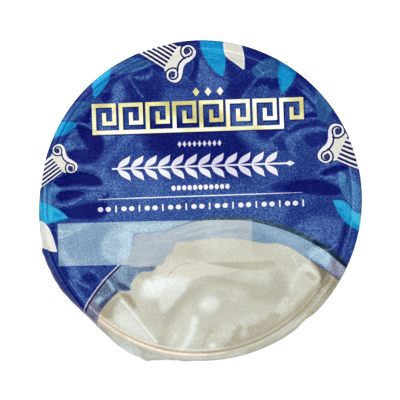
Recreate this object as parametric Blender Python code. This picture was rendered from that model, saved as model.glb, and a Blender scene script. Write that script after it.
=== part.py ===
"""A sealed single-serve yogurt pot: a shut, full plastic pot under a printed foil lid.

Metres, +Z up. The origin is the centre of the foot, on the surface that the pot stands on.
Seen from above, +X points to the right of the lid's print and +Y to its top.
The pot is shut, so its filling and its walls are one solid.
"""
import math

import bmesh
import bpy

MM = 0.001

# Pot: heights from the foot, radii from the axis
FLANGE_TOP = 45.4 * MM
FLANGE_THICKNESS = 1.1 * MM
FLANGE_RADIUS = 47.5 * MM
FLANGE_EDGE_ROUND = 0.3 * MM
MOUTH_RADIUS = 43.2 * MM
MOUTH_ROUND = 0.5 * MM
FILL_DEPTH = 1.6 * MM
COLLAR_RADIUS = 44.2 * MM
COLLAR_HEIGHT = 6.5 * MM
SHOULDER_HEIGHT = 1.4 * MM
COLLAR_DRAFT = 0.3 * MM
WALL_TOP_RADIUS = 42.2 * MM
WALL_BOTTOM_RADIUS = 34.6 * MM
FOOT_ROUND = 3.2 * MM
FOOT_RING_WIDTH = 3.4 * MM
BASE_RECESS_DEPTH = 1.2 * MM
BASE_RECESS_SLOPE = 1.4 * MM
POT_SEGMENTS = 84
FOOT_ROUND_STEPS = 5

# Foil lid: a skin of one thickness, sealed to the flange and bent down round its edge
FOIL_THICKNESS = 0.3 * MM
SEAL_GAP = 0.3 * MM
LID_RADIUS = 48.2 * MM
LID_TOP = FLANGE_TOP + SEAL_GAP + FOIL_THICKNESS
LID_SEGMENTS = 96
MEMBRANE_RINGS = 13
MEMBRANE_RING_POWER = 0.7
MEMBRANE_SAG = 0.35 * MM
BEND_RADIUS = 0.7 * MM
BEND_STEPS = 3
SKIRT_DROP = 0.9 * MM
HANG_ROWS = 4

# Heat-seal beads: two raised rings, struck a little off the lid's own centre
BEAD_HEIGHT = 0.22 * MM
BEAD_RADII = (44.95 * MM, 46.05 * MM)
BEAD_HALF_WIDTH = 0.5 * MM
SEAL_OFFSET_X = -0.9 * MM
SEAL_OFFSET_Y = -0.7 * MM

# Pull tab: a rounded flap folded down beside the pot, its two corners springing outward
TAB_AZIMUTH = math.radians(227.5)
TAB_HALF_ANGLE = math.radians(32.5)
TAB_LENGTH = 8.2 * MM
TAB_STAND_OFF = 0.55 * MM
TAB_CORNERS = (
    (math.radians(204.0), math.radians(9.5), 1.35 * MM),
    (math.radians(247.0), math.radians(8.5), 1.75 * MM),
)
TAB_WAVE_HEIGHT = 0.16 * MM
TAB_WAVES_PER_TURN = 37

# Creases in the stretched foil: start and end in millimetres, height and half width
CREASES = (
    ((-42.0, 3.7), (-29.5, 4.3), 0.35, 1.8),
    ((-42.0, -1.1), (-33.5, 1.2), 0.30, 1.6),
    ((-41.0, 7.0), (-31.0, 7.2), -0.40, 2.2),
    ((-37.0, 23.6), (-28.0, 19.4), 0.30, 1.6),
    ((-22.5, 19.5), (-31.5, 7.8), 0.25, 2.4),
    ((-26.0, 36.0), (-22.5, 29.0), 0.30, 1.8),
    ((2.0, 42.0), (4.0, 33.5), 0.35, 2.2),
    ((12.8, 30.8), (17.6, 37.2), 0.30, 1.5),
    ((29.5, 31.0), (37.0, 24.5), 0.30, 2.2),
    ((27.5, 19.2), (37.0, 22.2), 0.30, 1.8),
    ((24.0, 3.8), (41.0, 3.8), -0.40, 2.4),
    ((34.5, 7.8), (42.5, 5.6), 0.35, 1.5),
    ((-22.5, -30.0), (-12.8, -42.0), 0.35, 2.0),
    ((-3.0, -36.0), (-1.5, -43.0), 0.30, 1.6),
    ((28.5, -18.5), (35.0, -29.5), 0.30, 2.0),
)


def clear_scene():
    for obj in list(bpy.data.objects):
        bpy.data.objects.remove(obj, do_unlink=True)


def plain_material(name, colour, roughness, metallic):
    material = bpy.data.materials.new(name)
    material.use_nodes = True
    shader = material.node_tree.nodes["Principled BSDF"]
    shader.inputs["Base Color"].default_value = (*colour, 1.0)
    shader.inputs["Roughness"].default_value = roughness
    shader.inputs["Metallic"].default_value = metallic
    return material


def add_object(name, mesh, material, sharp_angle):
    mesh.materials.append(material)
    mesh.shade_smooth()
    mesh.set_sharp_from_angle(angle=sharp_angle)
    obj = bpy.data.objects.new(name, mesh)
    bpy.context.scene.collection.objects.link(obj)
    return obj


def arc(centre_r, centre_z, radius, start_degrees, end_degrees, steps):
    """Points of a round in the (r, z) plane, both ends included."""
    points = []
    for step in range(steps + 1):
        angle = math.radians(start_degrees + (end_degrees - start_degrees) * step / steps)
        points.append((centre_r + radius * math.cos(angle), centre_z + radius * math.sin(angle)))
    return points


def pot_profile():
    """The pot's outline in (r, z), from the edge of the base recess up and over to the filling."""
    flange_bottom = FLANGE_TOP - FLANGE_THICKNESS
    collar_bottom = flange_bottom - COLLAR_HEIGHT
    foot_outer = WALL_BOTTOM_RADIUS - FOOT_ROUND
    foot_inner = foot_outer - FOOT_RING_WIDTH
    profile = [
        (foot_inner - BASE_RECESS_SLOPE, BASE_RECESS_DEPTH),
        (foot_inner, 0.0),
    ]
    profile += arc(foot_outer, FOOT_ROUND, FOOT_ROUND, -90.0, 0.0, FOOT_ROUND_STEPS)
    profile += [
        (WALL_TOP_RADIUS, collar_bottom - SHOULDER_HEIGHT),
        (COLLAR_RADIUS - COLLAR_DRAFT, collar_bottom),
        (COLLAR_RADIUS, flange_bottom),
        (FLANGE_RADIUS - FLANGE_EDGE_ROUND, flange_bottom),
        (FLANGE_RADIUS, flange_bottom + FLANGE_EDGE_ROUND),
        (FLANGE_RADIUS, FLANGE_TOP - FLANGE_EDGE_ROUND),
        (FLANGE_RADIUS - FLANGE_EDGE_ROUND, FLANGE_TOP),
        (MOUTH_RADIUS, FLANGE_TOP),
        (MOUTH_RADIUS - MOUTH_ROUND, FLANGE_TOP - MOUTH_ROUND),
        (MOUTH_RADIUS - MOUTH_ROUND, FLANGE_TOP - FILL_DEPTH),
    ]
    return profile


def turned_mesh(name, profile, segments):
    """Spin an (r, z) outline round the Z axis and close its two open ends with flat faces."""
    bm = bmesh.new()
    verts = [bm.verts.new((r, 0.0, z)) for r, z in profile]
    edges = [bm.edges.new(pair) for pair in zip(verts, verts[1:])]
    bmesh.ops.spin(
        bm,
        geom=verts + edges,
        cent=(0.0, 0.0, 0.0),
        axis=(0.0, 0.0, 1.0),
        angle=math.tau,
        steps=segments,
        use_merge=True,
    )
    open_edges = [edge for edge in bm.edges if edge.is_boundary]
    bmesh.ops.holes_fill(bm, edges=open_edges, sides=0)
    bmesh.ops.recalc_face_normals(bm, faces=bm.faces)
    mesh = bpy.data.meshes.new(name)
    bm.to_mesh(mesh)
    bm.free()
    return mesh


def crease_height(x, y):
    """Summed height of the creases at a point, each one fading with distance from its line."""
    total = 0.0
    for start, end, height, half_width in CREASES:
        along_x = end[0] - start[0]
        along_y = end[1] - start[1]
        length = math.hypot(along_x, along_y)
        share = ((x / MM - start[0]) * along_x + (y / MM - start[1]) * along_y) / length ** 2
        share = min(max(share, 0.0), 1.0)
        distance = math.hypot(x / MM - start[0] - share * along_x, y / MM - start[1] - share * along_y)
        total += height * MM * math.exp(-(distance / half_width) ** 2)
    return total


def bead_height(x, y):
    """Height of the heat-seal beads at a point."""
    radius = math.hypot(x - SEAL_OFFSET_X, y - SEAL_OFFSET_Y)
    return sum(BEAD_HEIGHT * math.exp(-((radius - bead) / BEAD_HALF_WIDTH) ** 2) for bead in BEAD_RADII)


def sealed_radii(azimuth):
    """Radii of the rings on the flange, which follow the seal's own centre, out to the bend."""
    shift = SEAL_OFFSET_X * math.cos(azimuth) + SEAL_OFFSET_Y * math.sin(azimuth)
    inner, outer = BEAD_RADII
    valley = (inner + outer) / 2
    bend_start = LID_RADIUS - BEND_RADIUS
    beads = [inner + shift, valley + shift, outer + shift]
    return [(MOUTH_RADIUS + beads[0]) / 2] + beads + [(beads[2] + bend_start) / 2, bend_start]


def tab_reach(azimuth):
    """How far the foil hangs below the skirt at an azimuth: nothing outside the pull tab."""
    away = abs(azimuth - TAB_AZIMUTH) / TAB_HALF_ANGLE
    if away >= 1.0:
        return 0.0
    return TAB_LENGTH * math.sqrt(1.0 - away ** 3)


def tab_flare(azimuth):
    """How far the folded tab stands out beyond the lid's round edge."""
    away = abs(azimuth - TAB_AZIMUTH) / TAB_HALF_ANGLE
    if away >= 1.0:
        return 0.0
    flare = TAB_STAND_OFF + TAB_WAVE_HEIGHT * math.sin(TAB_WAVES_PER_TURN * azimuth)
    for corner, spread, height in TAB_CORNERS:
        flare += height * math.exp(-((azimuth - corner) / spread) ** 2)
    return flare


def lid_column(azimuth):
    """Points of the foil's upper face along one azimuth, from the first ring to the hanging edge."""
    points = []
    radii = [
        MOUTH_RADIUS * (ring / MEMBRANE_RINGS) ** MEMBRANE_RING_POWER
        for ring in range(1, MEMBRANE_RINGS + 1)
    ]
    radii += sealed_radii(azimuth)
    for radius in radii:
        x = radius * math.cos(azimuth)
        y = radius * math.sin(azimuth)
        inward = min(radius / MOUTH_RADIUS, 1.0)
        fade = 1.0 - inward ** 8
        height = bead_height(x, y) + (crease_height(x, y) - MEMBRANE_SAG) * fade
        points.append((x, y, LID_TOP + height))
    bend_r = LID_RADIUS - BEND_RADIUS
    bend = arc(bend_r, LID_TOP - BEND_RADIUS, BEND_RADIUS, 90.0, 0.0, BEND_STEPS)[1:]
    drop = SKIRT_DROP + tab_reach(azimuth)
    flare = tab_flare(azimuth)
    hang = []
    for row in range(1, HANG_ROWS + 1):
        share = row / HANG_ROWS
        hang.append((LID_RADIUS + flare * (1.0 - (1.0 - share) ** 2), bend[-1][1] - drop * share))
    for radius, height in bend + hang:
        points.append((radius * math.cos(azimuth), radius * math.sin(azimuth), height))
    return points


def lid_mesh(name):
    """The foil's upper face as rings of quads round a centre fan."""
    bm = bmesh.new()
    centre = bm.verts.new((0.0, 0.0, LID_TOP - MEMBRANE_SAG + crease_height(0.0, 0.0)))
    columns = []
    for segment in range(LID_SEGMENTS):
        azimuth = math.tau * segment / LID_SEGMENTS
        columns.append([bm.verts.new(point) for point in lid_column(azimuth)])
    for column, following in zip(columns, columns[1:] + columns[:1]):
        bm.faces.new((centre, column[0], following[0]))
        for row in range(len(column) - 1):
            bm.faces.new((column[row], column[row + 1], following[row + 1], following[row]))
    mesh = bpy.data.meshes.new(name)
    bm.to_mesh(mesh)
    bm.free()
    return mesh


def make_pot():
    plastic = plain_material("printed_plastic", (0.012, 0.030, 0.190), 0.32, 0.0)
    mesh = turned_mesh("pot", pot_profile(), POT_SEGMENTS)
    return add_object("pot", mesh, plastic, math.radians(35.0))


def make_foil_lid():
    foil = plain_material("printed_foil", (0.020, 0.050, 0.260), 0.30, 0.55)
    lid = add_object("foil_lid", lid_mesh("foil_lid"), foil, math.radians(60.0))
    thickness = lid.modifiers.new("foil_thickness", "SOLIDIFY")
    thickness.thickness = FOIL_THICKNESS
    thickness.offset = -1.0
    thickness.use_even_offset = True
    return lid


def main():
    clear_scene()
    make_pot()
    make_foil_lid()


main()
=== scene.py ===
import math
import random

import bmesh
import bpy
import numpy as np
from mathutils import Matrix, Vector, noise
from mathutils.geometry import delaunay_2d_cdt


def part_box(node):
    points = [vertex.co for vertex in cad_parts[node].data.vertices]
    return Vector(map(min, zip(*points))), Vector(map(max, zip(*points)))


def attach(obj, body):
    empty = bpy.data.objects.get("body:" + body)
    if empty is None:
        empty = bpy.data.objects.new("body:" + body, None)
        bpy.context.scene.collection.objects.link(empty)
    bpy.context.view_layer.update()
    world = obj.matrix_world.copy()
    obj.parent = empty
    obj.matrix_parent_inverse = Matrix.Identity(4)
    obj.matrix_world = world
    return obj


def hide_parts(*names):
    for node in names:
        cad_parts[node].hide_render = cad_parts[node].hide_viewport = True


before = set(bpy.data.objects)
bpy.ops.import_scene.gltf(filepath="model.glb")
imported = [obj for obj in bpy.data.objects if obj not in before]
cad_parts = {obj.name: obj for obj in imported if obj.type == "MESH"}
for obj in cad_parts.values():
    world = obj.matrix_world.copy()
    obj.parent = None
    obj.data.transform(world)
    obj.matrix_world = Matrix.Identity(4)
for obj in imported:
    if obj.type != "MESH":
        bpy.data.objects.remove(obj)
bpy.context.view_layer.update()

# Lengths are in millimetres until a mesh is made, and print places are in pixels of the photo
MM = 0.001
pot_high = np.array(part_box("pot")[1]) / MM

# The photo looks straight down: its scale, and the pixel that the lid's centre falls on
MM_PER_PIXEL = 0.3
PHOTO_SIZE = 400
CENTRE_X = 200.8
CENTRE_Y = 200.3

# The sealing tool came down a little off the lid's centre, on this pixel
PRESS_X = 200.1
PRESS_Y = 200.2

# Foil lid, as the solid model has it
LID_RADIUS = 48.2
MOUTH_RADIUS = 43.2
LID_TOP = pot_high[2] + 0.6
BEND_RADIUS = 0.7
BEND_START = LID_RADIUS - BEND_RADIUS
BEND_LENGTH = BEND_RADIUS * math.pi / 2
SKIRT_DROP = 0.9
TAB_AZIMUTH = math.radians(227.5)
TAB_HALF_ANGLE = math.radians(32.5)
TAB_LENGTH = 8.2

# How far the tab's wavy edge stands out, by azimuth in degrees
TAB_STAND_OFF = (
    (172, 0.0), (180, 0.3), (185, 0.6), (187, 0.7), (190, 1.05), (194, 1.1), (196, 1.45), (198, 2.0),
    (203, 1.95), (210, 1.95), (214, 1.75), (218, 1.25), (221, 1.0), (225, 0.7), (230, 0.9), (235, 1.45),
    (240, 2.15), (243.5, 2.6), (250, 2.8), (251.6, 2.9), (254.5, 1.75), (257.5, 0.95), (261, 0.45),
    (265, 0.35), (268, 0.0),
)
FLARE_POWER = 5
CRUMPLE_DEPTH = 0.10
CRUMPLE_WAVES = 61
CRUMPLE_DRIFT = 2.0
CRUMPLE_DRIFT_WAVES = 7

# Shallow bends in the round edge: azimuth and spread in degrees, and depth inward
RIM_DENTS = ((311.0, 3.2, 0.55), (108.0, 20.0, 0.20), (370.0, 28.0, -0.22))
DENT_ZONE = (BEND_START - 1.2, BEND_START + 0.6)

# Relief of the foil, and its tone of painted light and shade
MEMBRANE_SAG = 0.25
FREE_EDGE = (MOUTH_RADIUS - 4.0, MOUTH_RADIUS + 0.4)
SEAL_CENTRE = (-1.1, -0.67)
BEAD_RADII = (44.95, 46.05)
BEAD_HEIGHT = 0.14
BEAD_HALF_WIDTH = 0.42
RELIEF_END = (BEND_START - 0.6, BEND_START + BEND_LENGTH)
LUMP_SIZES = (9.0, 3.2, 1.1)
LUMP_SEEDS = (3.0, 7.0, 11.0)
LUMP_HEIGHTS = (0.16, 0.05, 0.012)
LUMP_TONE = 0.25
RIM_SHADE = 0.2
RIM_SHADE_WIDTH = 0.6
PATCH_REACH = 1.2
STROKE_REACH = 2.2
FOLD_STEPS = 5
RING_LEAD = 20.0
RING_FADE = 1.5

# How finely the lid is cut up, and its thickness
LID_GRID = 0.37
SHARP_FOLD = 1.2
SHARP_FOLD_STEPS = 12
SHARP_FOLD_ROWS = (-1.4, -0.7, 0.0, 0.7, 1.4)
RING_ZONE = (43.4, 48.9)
RING_STEP = 0.16
RING_POINTS = 480
LID_EDGE_POINTS = 720
PRINT_STEP = 0.45
PRINT_OVERRUN = 1.14
UNDERSIDE_GRID = 1.6
FOIL_THICKNESS = 0.14
BACKING_DEPTH = 0.4
BACKING_RADIUS = MOUTH_RADIUS - 0.8
NORMAL_STEP = 0.05

# Pot, as the solid model has it
FLANGE_TOP = pot_high[2]
FLANGE_BOTTOM = FLANGE_TOP - 1.1
FLANGE_RADIUS = 47.5
FLANGE_ROUND = 0.3
COLLAR_RADIUS = 44.2
COLLAR_BOTTOM = FLANGE_BOTTOM - 6.5
COLLAR_DRAFT = 0.3
SHOULDER_BOTTOM = COLLAR_BOTTOM - 1.4
WALL_TOP_RADIUS = 42.2
WALL_BOTTOM_RADIUS = 34.6
FOOT_ROUND = 3.2
FOOT_RING_WIDTH = 3.4
BASE_RECESS_DEPTH = 1.2
BASE_RECESS_SLOPE = 1.4
FILL_DEPTH = 1.6
MOUTH_ROUND = 0.5

# Small eases on the pot's corners, each as how far out and how far up or down, and a step in its base
SHOULDER_EASE = (0.5, 0.25)
COLLAR_FOOT_EASE = (0.35, 0.3)
COLLAR_TOP_EASE = ((0.0, 0.5), (0.15, 0.12), (0.5, 0.0))
FOOT_RING_EASE = (0.3, 0.06)
BASE_EASE = (0.3, 0.15)
BASE_STEP = (8.0, 8.6)
BASE_STEP_HEIGHT = 0.3
BASE_CENTRE_RADIUS = 3.0
ARC_STEPS = 4
FOOT_ARC_STEPS = 10

# How finely the pot is cut up
POT_EDGE_POINTS = 240
WALL_ROWS = 45
WALL_GRID = 0.75
WALL_MARGIN = 1.6
WELD_DISTANCE = 0.002
SHARP_ANGLE = math.radians(50.0)
EDGE_TOLERANCE = 1e-6
EDGE_DECIMALS = 6


# Flat outlines

def points(*pairs):
    return np.array(pairs, dtype=float)


def curve(*pairs, steps=7, closed=False):
    """A smooth line through every given point."""
    knots = points(*pairs)
    if closed:
        padded = np.vstack([knots[-1:], knots, knots[:2]])
    else:
        padded = np.vstack([2 * knots[0] - knots[1], knots, 2 * knots[-1] - knots[-2]])
    t = np.linspace(0.0, 1.0, steps, endpoint=False)[:, None]
    pieces = []
    for a, b, c, d in zip(padded, padded[1:], padded[2:], padded[3:]):
        pieces.append(0.5 * (2 * b + (c - a) * t + (2 * a - 5 * b + 4 * c - d) * t ** 2
                             + (3 * b - a - 3 * c + d) * t ** 3))
    return np.vstack(pieces + ([] if closed else [knots[-1:]]))


def oval(centre, radius, squash=1.0, steps=28):
    angle = np.linspace(0.0, math.tau, steps, endpoint=False)
    return np.column_stack([centre[0] + radius * np.cos(angle), centre[1] + radius * squash * np.sin(angle)])


def sides_of(line):
    """The direction square to a line at each of its points."""
    along = np.gradient(line, axis=0)
    along /= np.linalg.norm(along, axis=1)[:, None]
    return np.column_stack([-along[:, 1], along[:, 0]])


def ribbon(line, width, end_width=None):
    """The outline of a stroke along a line, its width running to end_width."""
    end_width = width if end_width is None else end_width
    side = sides_of(line) * (np.linspace(width, end_width, len(line))[:, None] / 2)
    return np.vstack([line + side, (line - side)[::-1]])


def bar(start, end, width):
    """A straight square-ended stroke that runs half its width past both ends."""
    start, end = points(start, end)
    along = (end - start) / np.linalg.norm(end - start)
    side = np.array([-along[1], along[0]]) * width / 2
    start, end = start - along * width / 2, end + along * width / 2
    return np.array([start + side, end + side, end - side, start - side])


def outward(pair):
    """A point on the lid's edge, moved out past it, so that a print runs over the bend and down."""
    return (CENTRE_X + (pair[0] - CENTRE_X) * PRINT_OVERRUN, CENTRE_Y + (pair[1] - CENTRE_Y) * PRINT_OVERRUN)


def rim_print(inward, back):
    """A printed shape that runs off the edge: one side in from the edge to its tip, one back out."""
    back = inward[-1:] + back
    start, end = points(outward(inward[0])), points(outward(back[-1]))
    return np.vstack([start, curve(*inward), curve(*back)[1:], end])


def frame_at(origin, turn, scale, mirror=False):
    """A function that moves an outline from a motif's own frame to its place on the photo."""
    c, s = math.cos(turn) * scale, math.sin(turn) * scale
    flip = -1.0 if mirror else 1.0

    def place(outline):
        x, y = outline[:, 0], outline[:, 1] * flip
        return np.column_stack([origin[0] + c * x - s * y, origin[1] + s * x + c * y])
    return place


# Leaves that hang in from the lid's edge: ink, the side that runs in to the tip, the side that runs back out
LEAVES = (
    ("ghost_leaf", ((132.5, 56.8), (141, 58.8), (152, 62.8)),
     ((141, 69.4), (127, 73.4), (112, 73.5), (108, 70))),
    ("ghost_leaf", ((75, 102.5), (84, 101.5), (95, 104)), ((84, 112), (73, 120.5), (62.5, 121))),
    ("ghost_leaf", ((41, 181), (46, 179.5), (54, 184)), ((60, 188), (55, 197), (52, 206), (39.5, 201.5))),
    ("ghost_leaf", ((271, 57.5), (262, 61), (254, 67.5), (252, 72)),
     ((258.5, 77.6), (268, 77.5), (277.5, 77), (280, 62.5))),
    ("ghost_leaf", ((316.5, 91), (315, 97), (316.5, 112), (321, 121), (324.2, 123.7)),
     ((328, 117), (332.5, 109.5))),
    ("ghost_leaf",
     ((359.5, 186), (352, 180), (345, 174.5), (339, 170.8), (338.4, 178), (341, 190), (346, 199.5)),
     ((352, 207), (361, 216))),
    ("sky_leaf", ((92.1, 84.0), (92.9, 91), (94.2, 99.1)), ((103, 89.5), (108.6, 80.5), (111.4, 70.0))),
    ("sky_leaf", ((61.7, 121.8), (70, 121.6), (78, 123.7)), ((72, 129.5), (65.1, 134.6), (53.5, 137.7))),
    ("sky_leaf", ((40.2, 201.6), (53.2, 206.6), (62.5, 212.2), (68.2, 217.9)),
     ((58, 221.3), (45.6, 223.6), (39.5, 220.4))),
    ("sky_leaf", ((199.3, 40.5), (202.3, 52), (209, 64.5), (216, 72), (222.9, 76.6)),
     ((225, 67), (225.2, 55), (223.3, 42))),
    ("sky_leaf", ((280, 62.5), (277.8, 72), (278.4, 81.5), (281.8, 93.6)),
     ((289.5, 86), (294, 78.2), (296.9, 71.8))),
    ("sky_leaf", ((361.5, 216), (353, 210), (346.8, 203), (341, 200.3), (332.4, 200.2)),
     ((338.4, 212.5), (346.4, 222.8), (357.2, 230.2))),
    ("chalk_leaf", ((224.0, 42), (225.8, 54.8)), ((234.6, 62.2), (243.4, 69), (244.0, 59), (241.7, 46))),
    ("chalk_leaf", ((40.2, 220.8), (47, 226), (52.5, 237), (56.9, 251.4)), ((50, 251), (43, 248.2))),
)

# Light edges of the chalk leaves: start width, end width and line
LEAF_EDGES = (
    (1.2, 1.4, (223.6, 43), (225.9, 55.0), (234.6, 62.2), (243.6, 68.8)),
    (1.0, 1.6, (241.6, 46.6), (243.8, 57.5), (243.6, 69.2)),
    (1.3, 1.3, (41, 221.4), (47, 226.6), (52.2, 237), (56.4, 251.2)),
    (1.3, 1.5, (43, 247.6), (50, 250.4), (56.8, 251.2)),
)


def leaf_prints():
    for ink, inward, back in LEAVES:
        yield ink, rim_print(inward, back)
    for width, end_width, *line in LEAF_EDGES:
        yield "leaf_edge", ribbon(curve(*line), width, end_width)


# One capital in its own frame: x runs from volute to volute, y towards the column and the edge
COLUMN_SIDES = (-12.9, 12.9)
COLUMN_TOP = 10.8
FAR = 70.0
FLUTE_START = COLUMN_TOP + 0.2
SHORTEST_FLUTE = FLUTE_START + 0.5
SHORTEST_FREE_FLUTE = FLUTE_START + 1.0
FLUTE_WIDTH = 2.4
FLUTE_RIM_MARGIN = 0.6
FLUTES = np.linspace(-8.6, 8.6, 5)
HEAD_EDGE = (
    (0.001, -4.8), (3.5, -5.4), (8.0, -7.4), (13.8, -8.7), (18.6, -6.6), (20.4, -1.4), (19.4, 3.2),
    (15.4, 6.4),
)
HEAD_REACH = np.array((22.0, 8.5))
HEAD_FOOT = (14.4, 9.4)
NECK_EDGE = ((5.2, 1.4), (6.4, 3.4), (9.8, 6.8), (12.8, 9.0), (12.6, COLUMN_TOP))
NECK_TOP = (0.0, 2.6)
CHANNEL = ((0.001, 0.9), (4.0, 0.2), (7.0, -1.0), (9.0, -2.4))
OUTLINE_MARGIN = 0.8
LINE_WIDTH = 1.9
VOLUTE_X = 13.9
VOLUTE_TURN = (207.0, 560.0)
VOLUTE_RADII = (5.3, 2.7)
VOLUTE_END_WIDTH = 1.5
VOLUTE_STEPS = 44
EYE_PLACE = (VOLUTE_X + 0.2, 0.3)
EYE_RADIUS = 2.8
HOOD_PLACE = (VOLUTE_X + 0.9, -1.0)
HOOD_TURN = (190.0, 62.0)
HOOD_RADIUS = 8.2
HOOD_WIDTH = 1.8
HOOD_STEPS = 18

# The lid's capitals: place, and rise and run of the line through the volutes
TOP_CAPITAL = ((180.2, 63.2), (0.846, -0.532))
LEFT_CAPITAL = ((64.3, 159.1), (0.798, 0.602))
RIGHT_CAPITAL = ((331.7, 143.7), (0.917, -0.40))
LEFT_CAPITAL_SCALE = 0.8
LEFT_COLUMN_SIDES = (-12.9, 11.2)
TOP_FLUTES = np.linspace(-10.1, 10.1, 6)
RIGHT_FLUTES = np.linspace(-11.5, 10.3, 6)


def both_sides(half, middle=()):
    """A line and its mirror image, joined into one line by any points between them."""
    return np.vstack([half[::-1] * (-1, 1), *middle, half])


def capital_body(margin, sides):
    """The head and the column below it, grown by a margin."""
    head = both_sides(curve(*HEAD_EDGE)) * (1.0 + margin / HEAD_REACH)
    left, right = sides[0] - margin, sides[1] + margin
    foot_x, foot_y = HEAD_FOOT
    return np.vstack([head, points((foot_x + margin, foot_y), (right, COLUMN_TOP), (right, FAR), (left, FAR),
                                   (left, COLUMN_TOP), (-foot_x - margin, foot_y))])


def capital_prints(place, flute_end, flutes=FLUTES, sides=COLUMN_SIDES):
    yield "outline", place(capital_body(OUTLINE_MARGIN, sides))
    yield "white", place(capital_body(0.0, sides))
    yield "neck", place(both_sides(points(*NECK_EDGE), [NECK_TOP]))
    yield "outline", place(ribbon(both_sides(curve(*CHANNEL)), LINE_WIDTH))
    for side in (-1.0, 1.0):
        angle = np.radians(np.linspace(*VOLUTE_TURN, VOLUTE_STEPS))
        radius = np.linspace(*VOLUTE_RADII, VOLUTE_STEPS)
        spiral = np.column_stack([side * (VOLUTE_X + radius * np.cos(angle)), radius * np.sin(angle)])
        yield "outline", place(ribbon(spiral, LINE_WIDTH, VOLUTE_END_WIDTH))
        yield "eye", place(oval((side * EYE_PLACE[0], EYE_PLACE[1]), EYE_RADIUS))
        angle = np.radians(np.linspace(*HOOD_TURN, HOOD_STEPS))
        hood = np.column_stack([side * (HOOD_PLACE[0] + HOOD_RADIUS * np.cos(angle)),
                                HOOD_RADIUS * np.sin(angle) + HOOD_PLACE[1]])
        yield "outline", place(ribbon(hood, HOOD_WIDTH))
    for x in flutes:
        yield "outline", place(ribbon(points((x, FLUTE_START), (x, flute_end(place, x))), FLUTE_WIDTH))


def stop_short_of_rim(place, x, samples=240):
    """How far a flute runs before it comes near the lid's edge."""
    reach = np.linspace(SHORTEST_FREE_FLUTE, FAR, samples)
    spots = place(np.column_stack([np.full(samples, x), reach]))
    radius = np.hypot(spots[:, 0] - CENTRE_X, spots[:, 1] - CENTRE_Y)
    free = reach[radius < LID_RADIUS / MM_PER_PIXEL - FLUTE_RIM_MARGIN]
    return free.max() if len(free) else SHORTEST_FLUTE


def lid_capitals():
    def at(capital, scale=1.0, mirror=False):
        origin, slope = capital
        return frame_at(origin, math.atan2(*slope), scale, mirror)

    yield from capital_prints(at(TOP_CAPITAL), stop_short_of_rim, flutes=TOP_FLUTES)
    left = at(LEFT_CAPITAL, LEFT_CAPITAL_SCALE)
    yield from capital_prints(left, stop_short_of_rim, sides=LEFT_COLUMN_SIDES)
    yield from capital_prints(at(RIGHT_CAPITAL, mirror=True), stop_short_of_rim, flutes=RIGHT_FLUTES)


# Printed bowl at the foot of the lid
BOWL_EDGE = (
    (78, 322), (83, 312), (89, 300), (103, 281), (119.8, 264), (135, 249), (150, 238.5), (163.7, 231.7),
    (188.9, 221.9), (206, 218.4), (224.7, 217.3), (242, 217.8), (260, 220.2), (286, 227.4), (309, 237.4),
    (327.3, 248.4), (345.3, 263.6), (360, 279),
)
YOGURT_EDGE = (
    (92, 345), (97.2, 322), (100, 312.5), (107, 303), (116.6, 293.5), (121.6, 291), (127.4, 291.6),
    (130.9, 289.5), (130.6, 284.8), (136.5, 275.5), (143, 271.8), (153, 271), (157, 264.5), (164.4, 262),
    (166.4, 255.4), (171.4, 253), (174.6, 247), (177, 243), (189, 241.6), (200, 240), (216.6, 238.3),
    (242, 239.5), (252.3, 241.5), (266.3, 243.6), (276.5, 243.4), (289.3, 247.4), (307, 258.7),
    (322.4, 268.9), (338.4, 280.4), (352, 292),
)
BELOW_LID = ((372, 330), (300, 400), (140, 400), (60, 350))
BOWL_STEPS = 7
PALE_LINE_END = 5
PALE_LINE_WIDTHS = (1.4, 1.1)
BOWL_SHADOW_SHIFT = (1.5, 1.0)
BOWL_SHADOW_WIDTHS = (2.3, 1.8)

# The dark line on the bowl's far rim: each stretch's first and last point of that edge, and its widths
BOWL_LINE = ((7, 8, 0.7, 1.2), (8, 10, 1.2, 3.8), (10, 15, 3.8, 5.6), (15, 17, 5.6, 3.8))
BOWL_LINE_SHIFT = (0.0, 0.8)

# The swirl's warm side and the shaded corner of the yogurt
WARM_EDGE = (
    (156, 267), (160, 260), (172, 256), (188, 257.5), (206, 263), (222, 266.5), (238, 270), (228, 273),
    (214, 275.5), (202, 276.5), (189, 281), (170, 277),
)
CORNER_EDGE = (
    (314, 262), (322.4, 268.6), (338.6, 280.3), (348, 287), (331, 300), (322, 297), (317, 293),
    (316.5, 285), (319.5, 277), (317, 269),
)

# Stretches of the seal over the bowl: an inner and an outer side, as azimuths in degrees and radii in pixels
SEAL_STRETCHES = (
    (((216, 151.2), (262, 151.0), (284, 153.2)), ((284, 155.0), (262, 157.8), (216, 159.0))),
    (((216, 145.5), (228.4, 146.0)), ((231, 168.0), (216, 168.0))),
    (((330.4, 143.5), (339, 145.5)), ((339, 168.0), (330.4, 168.0))),
)
SEAL_SIDE_STEPS = 40

# The pale field for a date, and the part of the bowl that shows through it
DATE_FIELD_EDGE = ((57.6, 223.7), (150, 221.2), (251.7, 219.6), (252.1, 262), (58.8, 266.2))
FIELD_BOWL_EDGE = (
    (137, 235), (150, 233.6), (163, 232.6), (168, 238), (166, 248), (164, 262), (158, 265.8), (131, 266),
    (131.5, 252), (134.5, 243),
)


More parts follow.
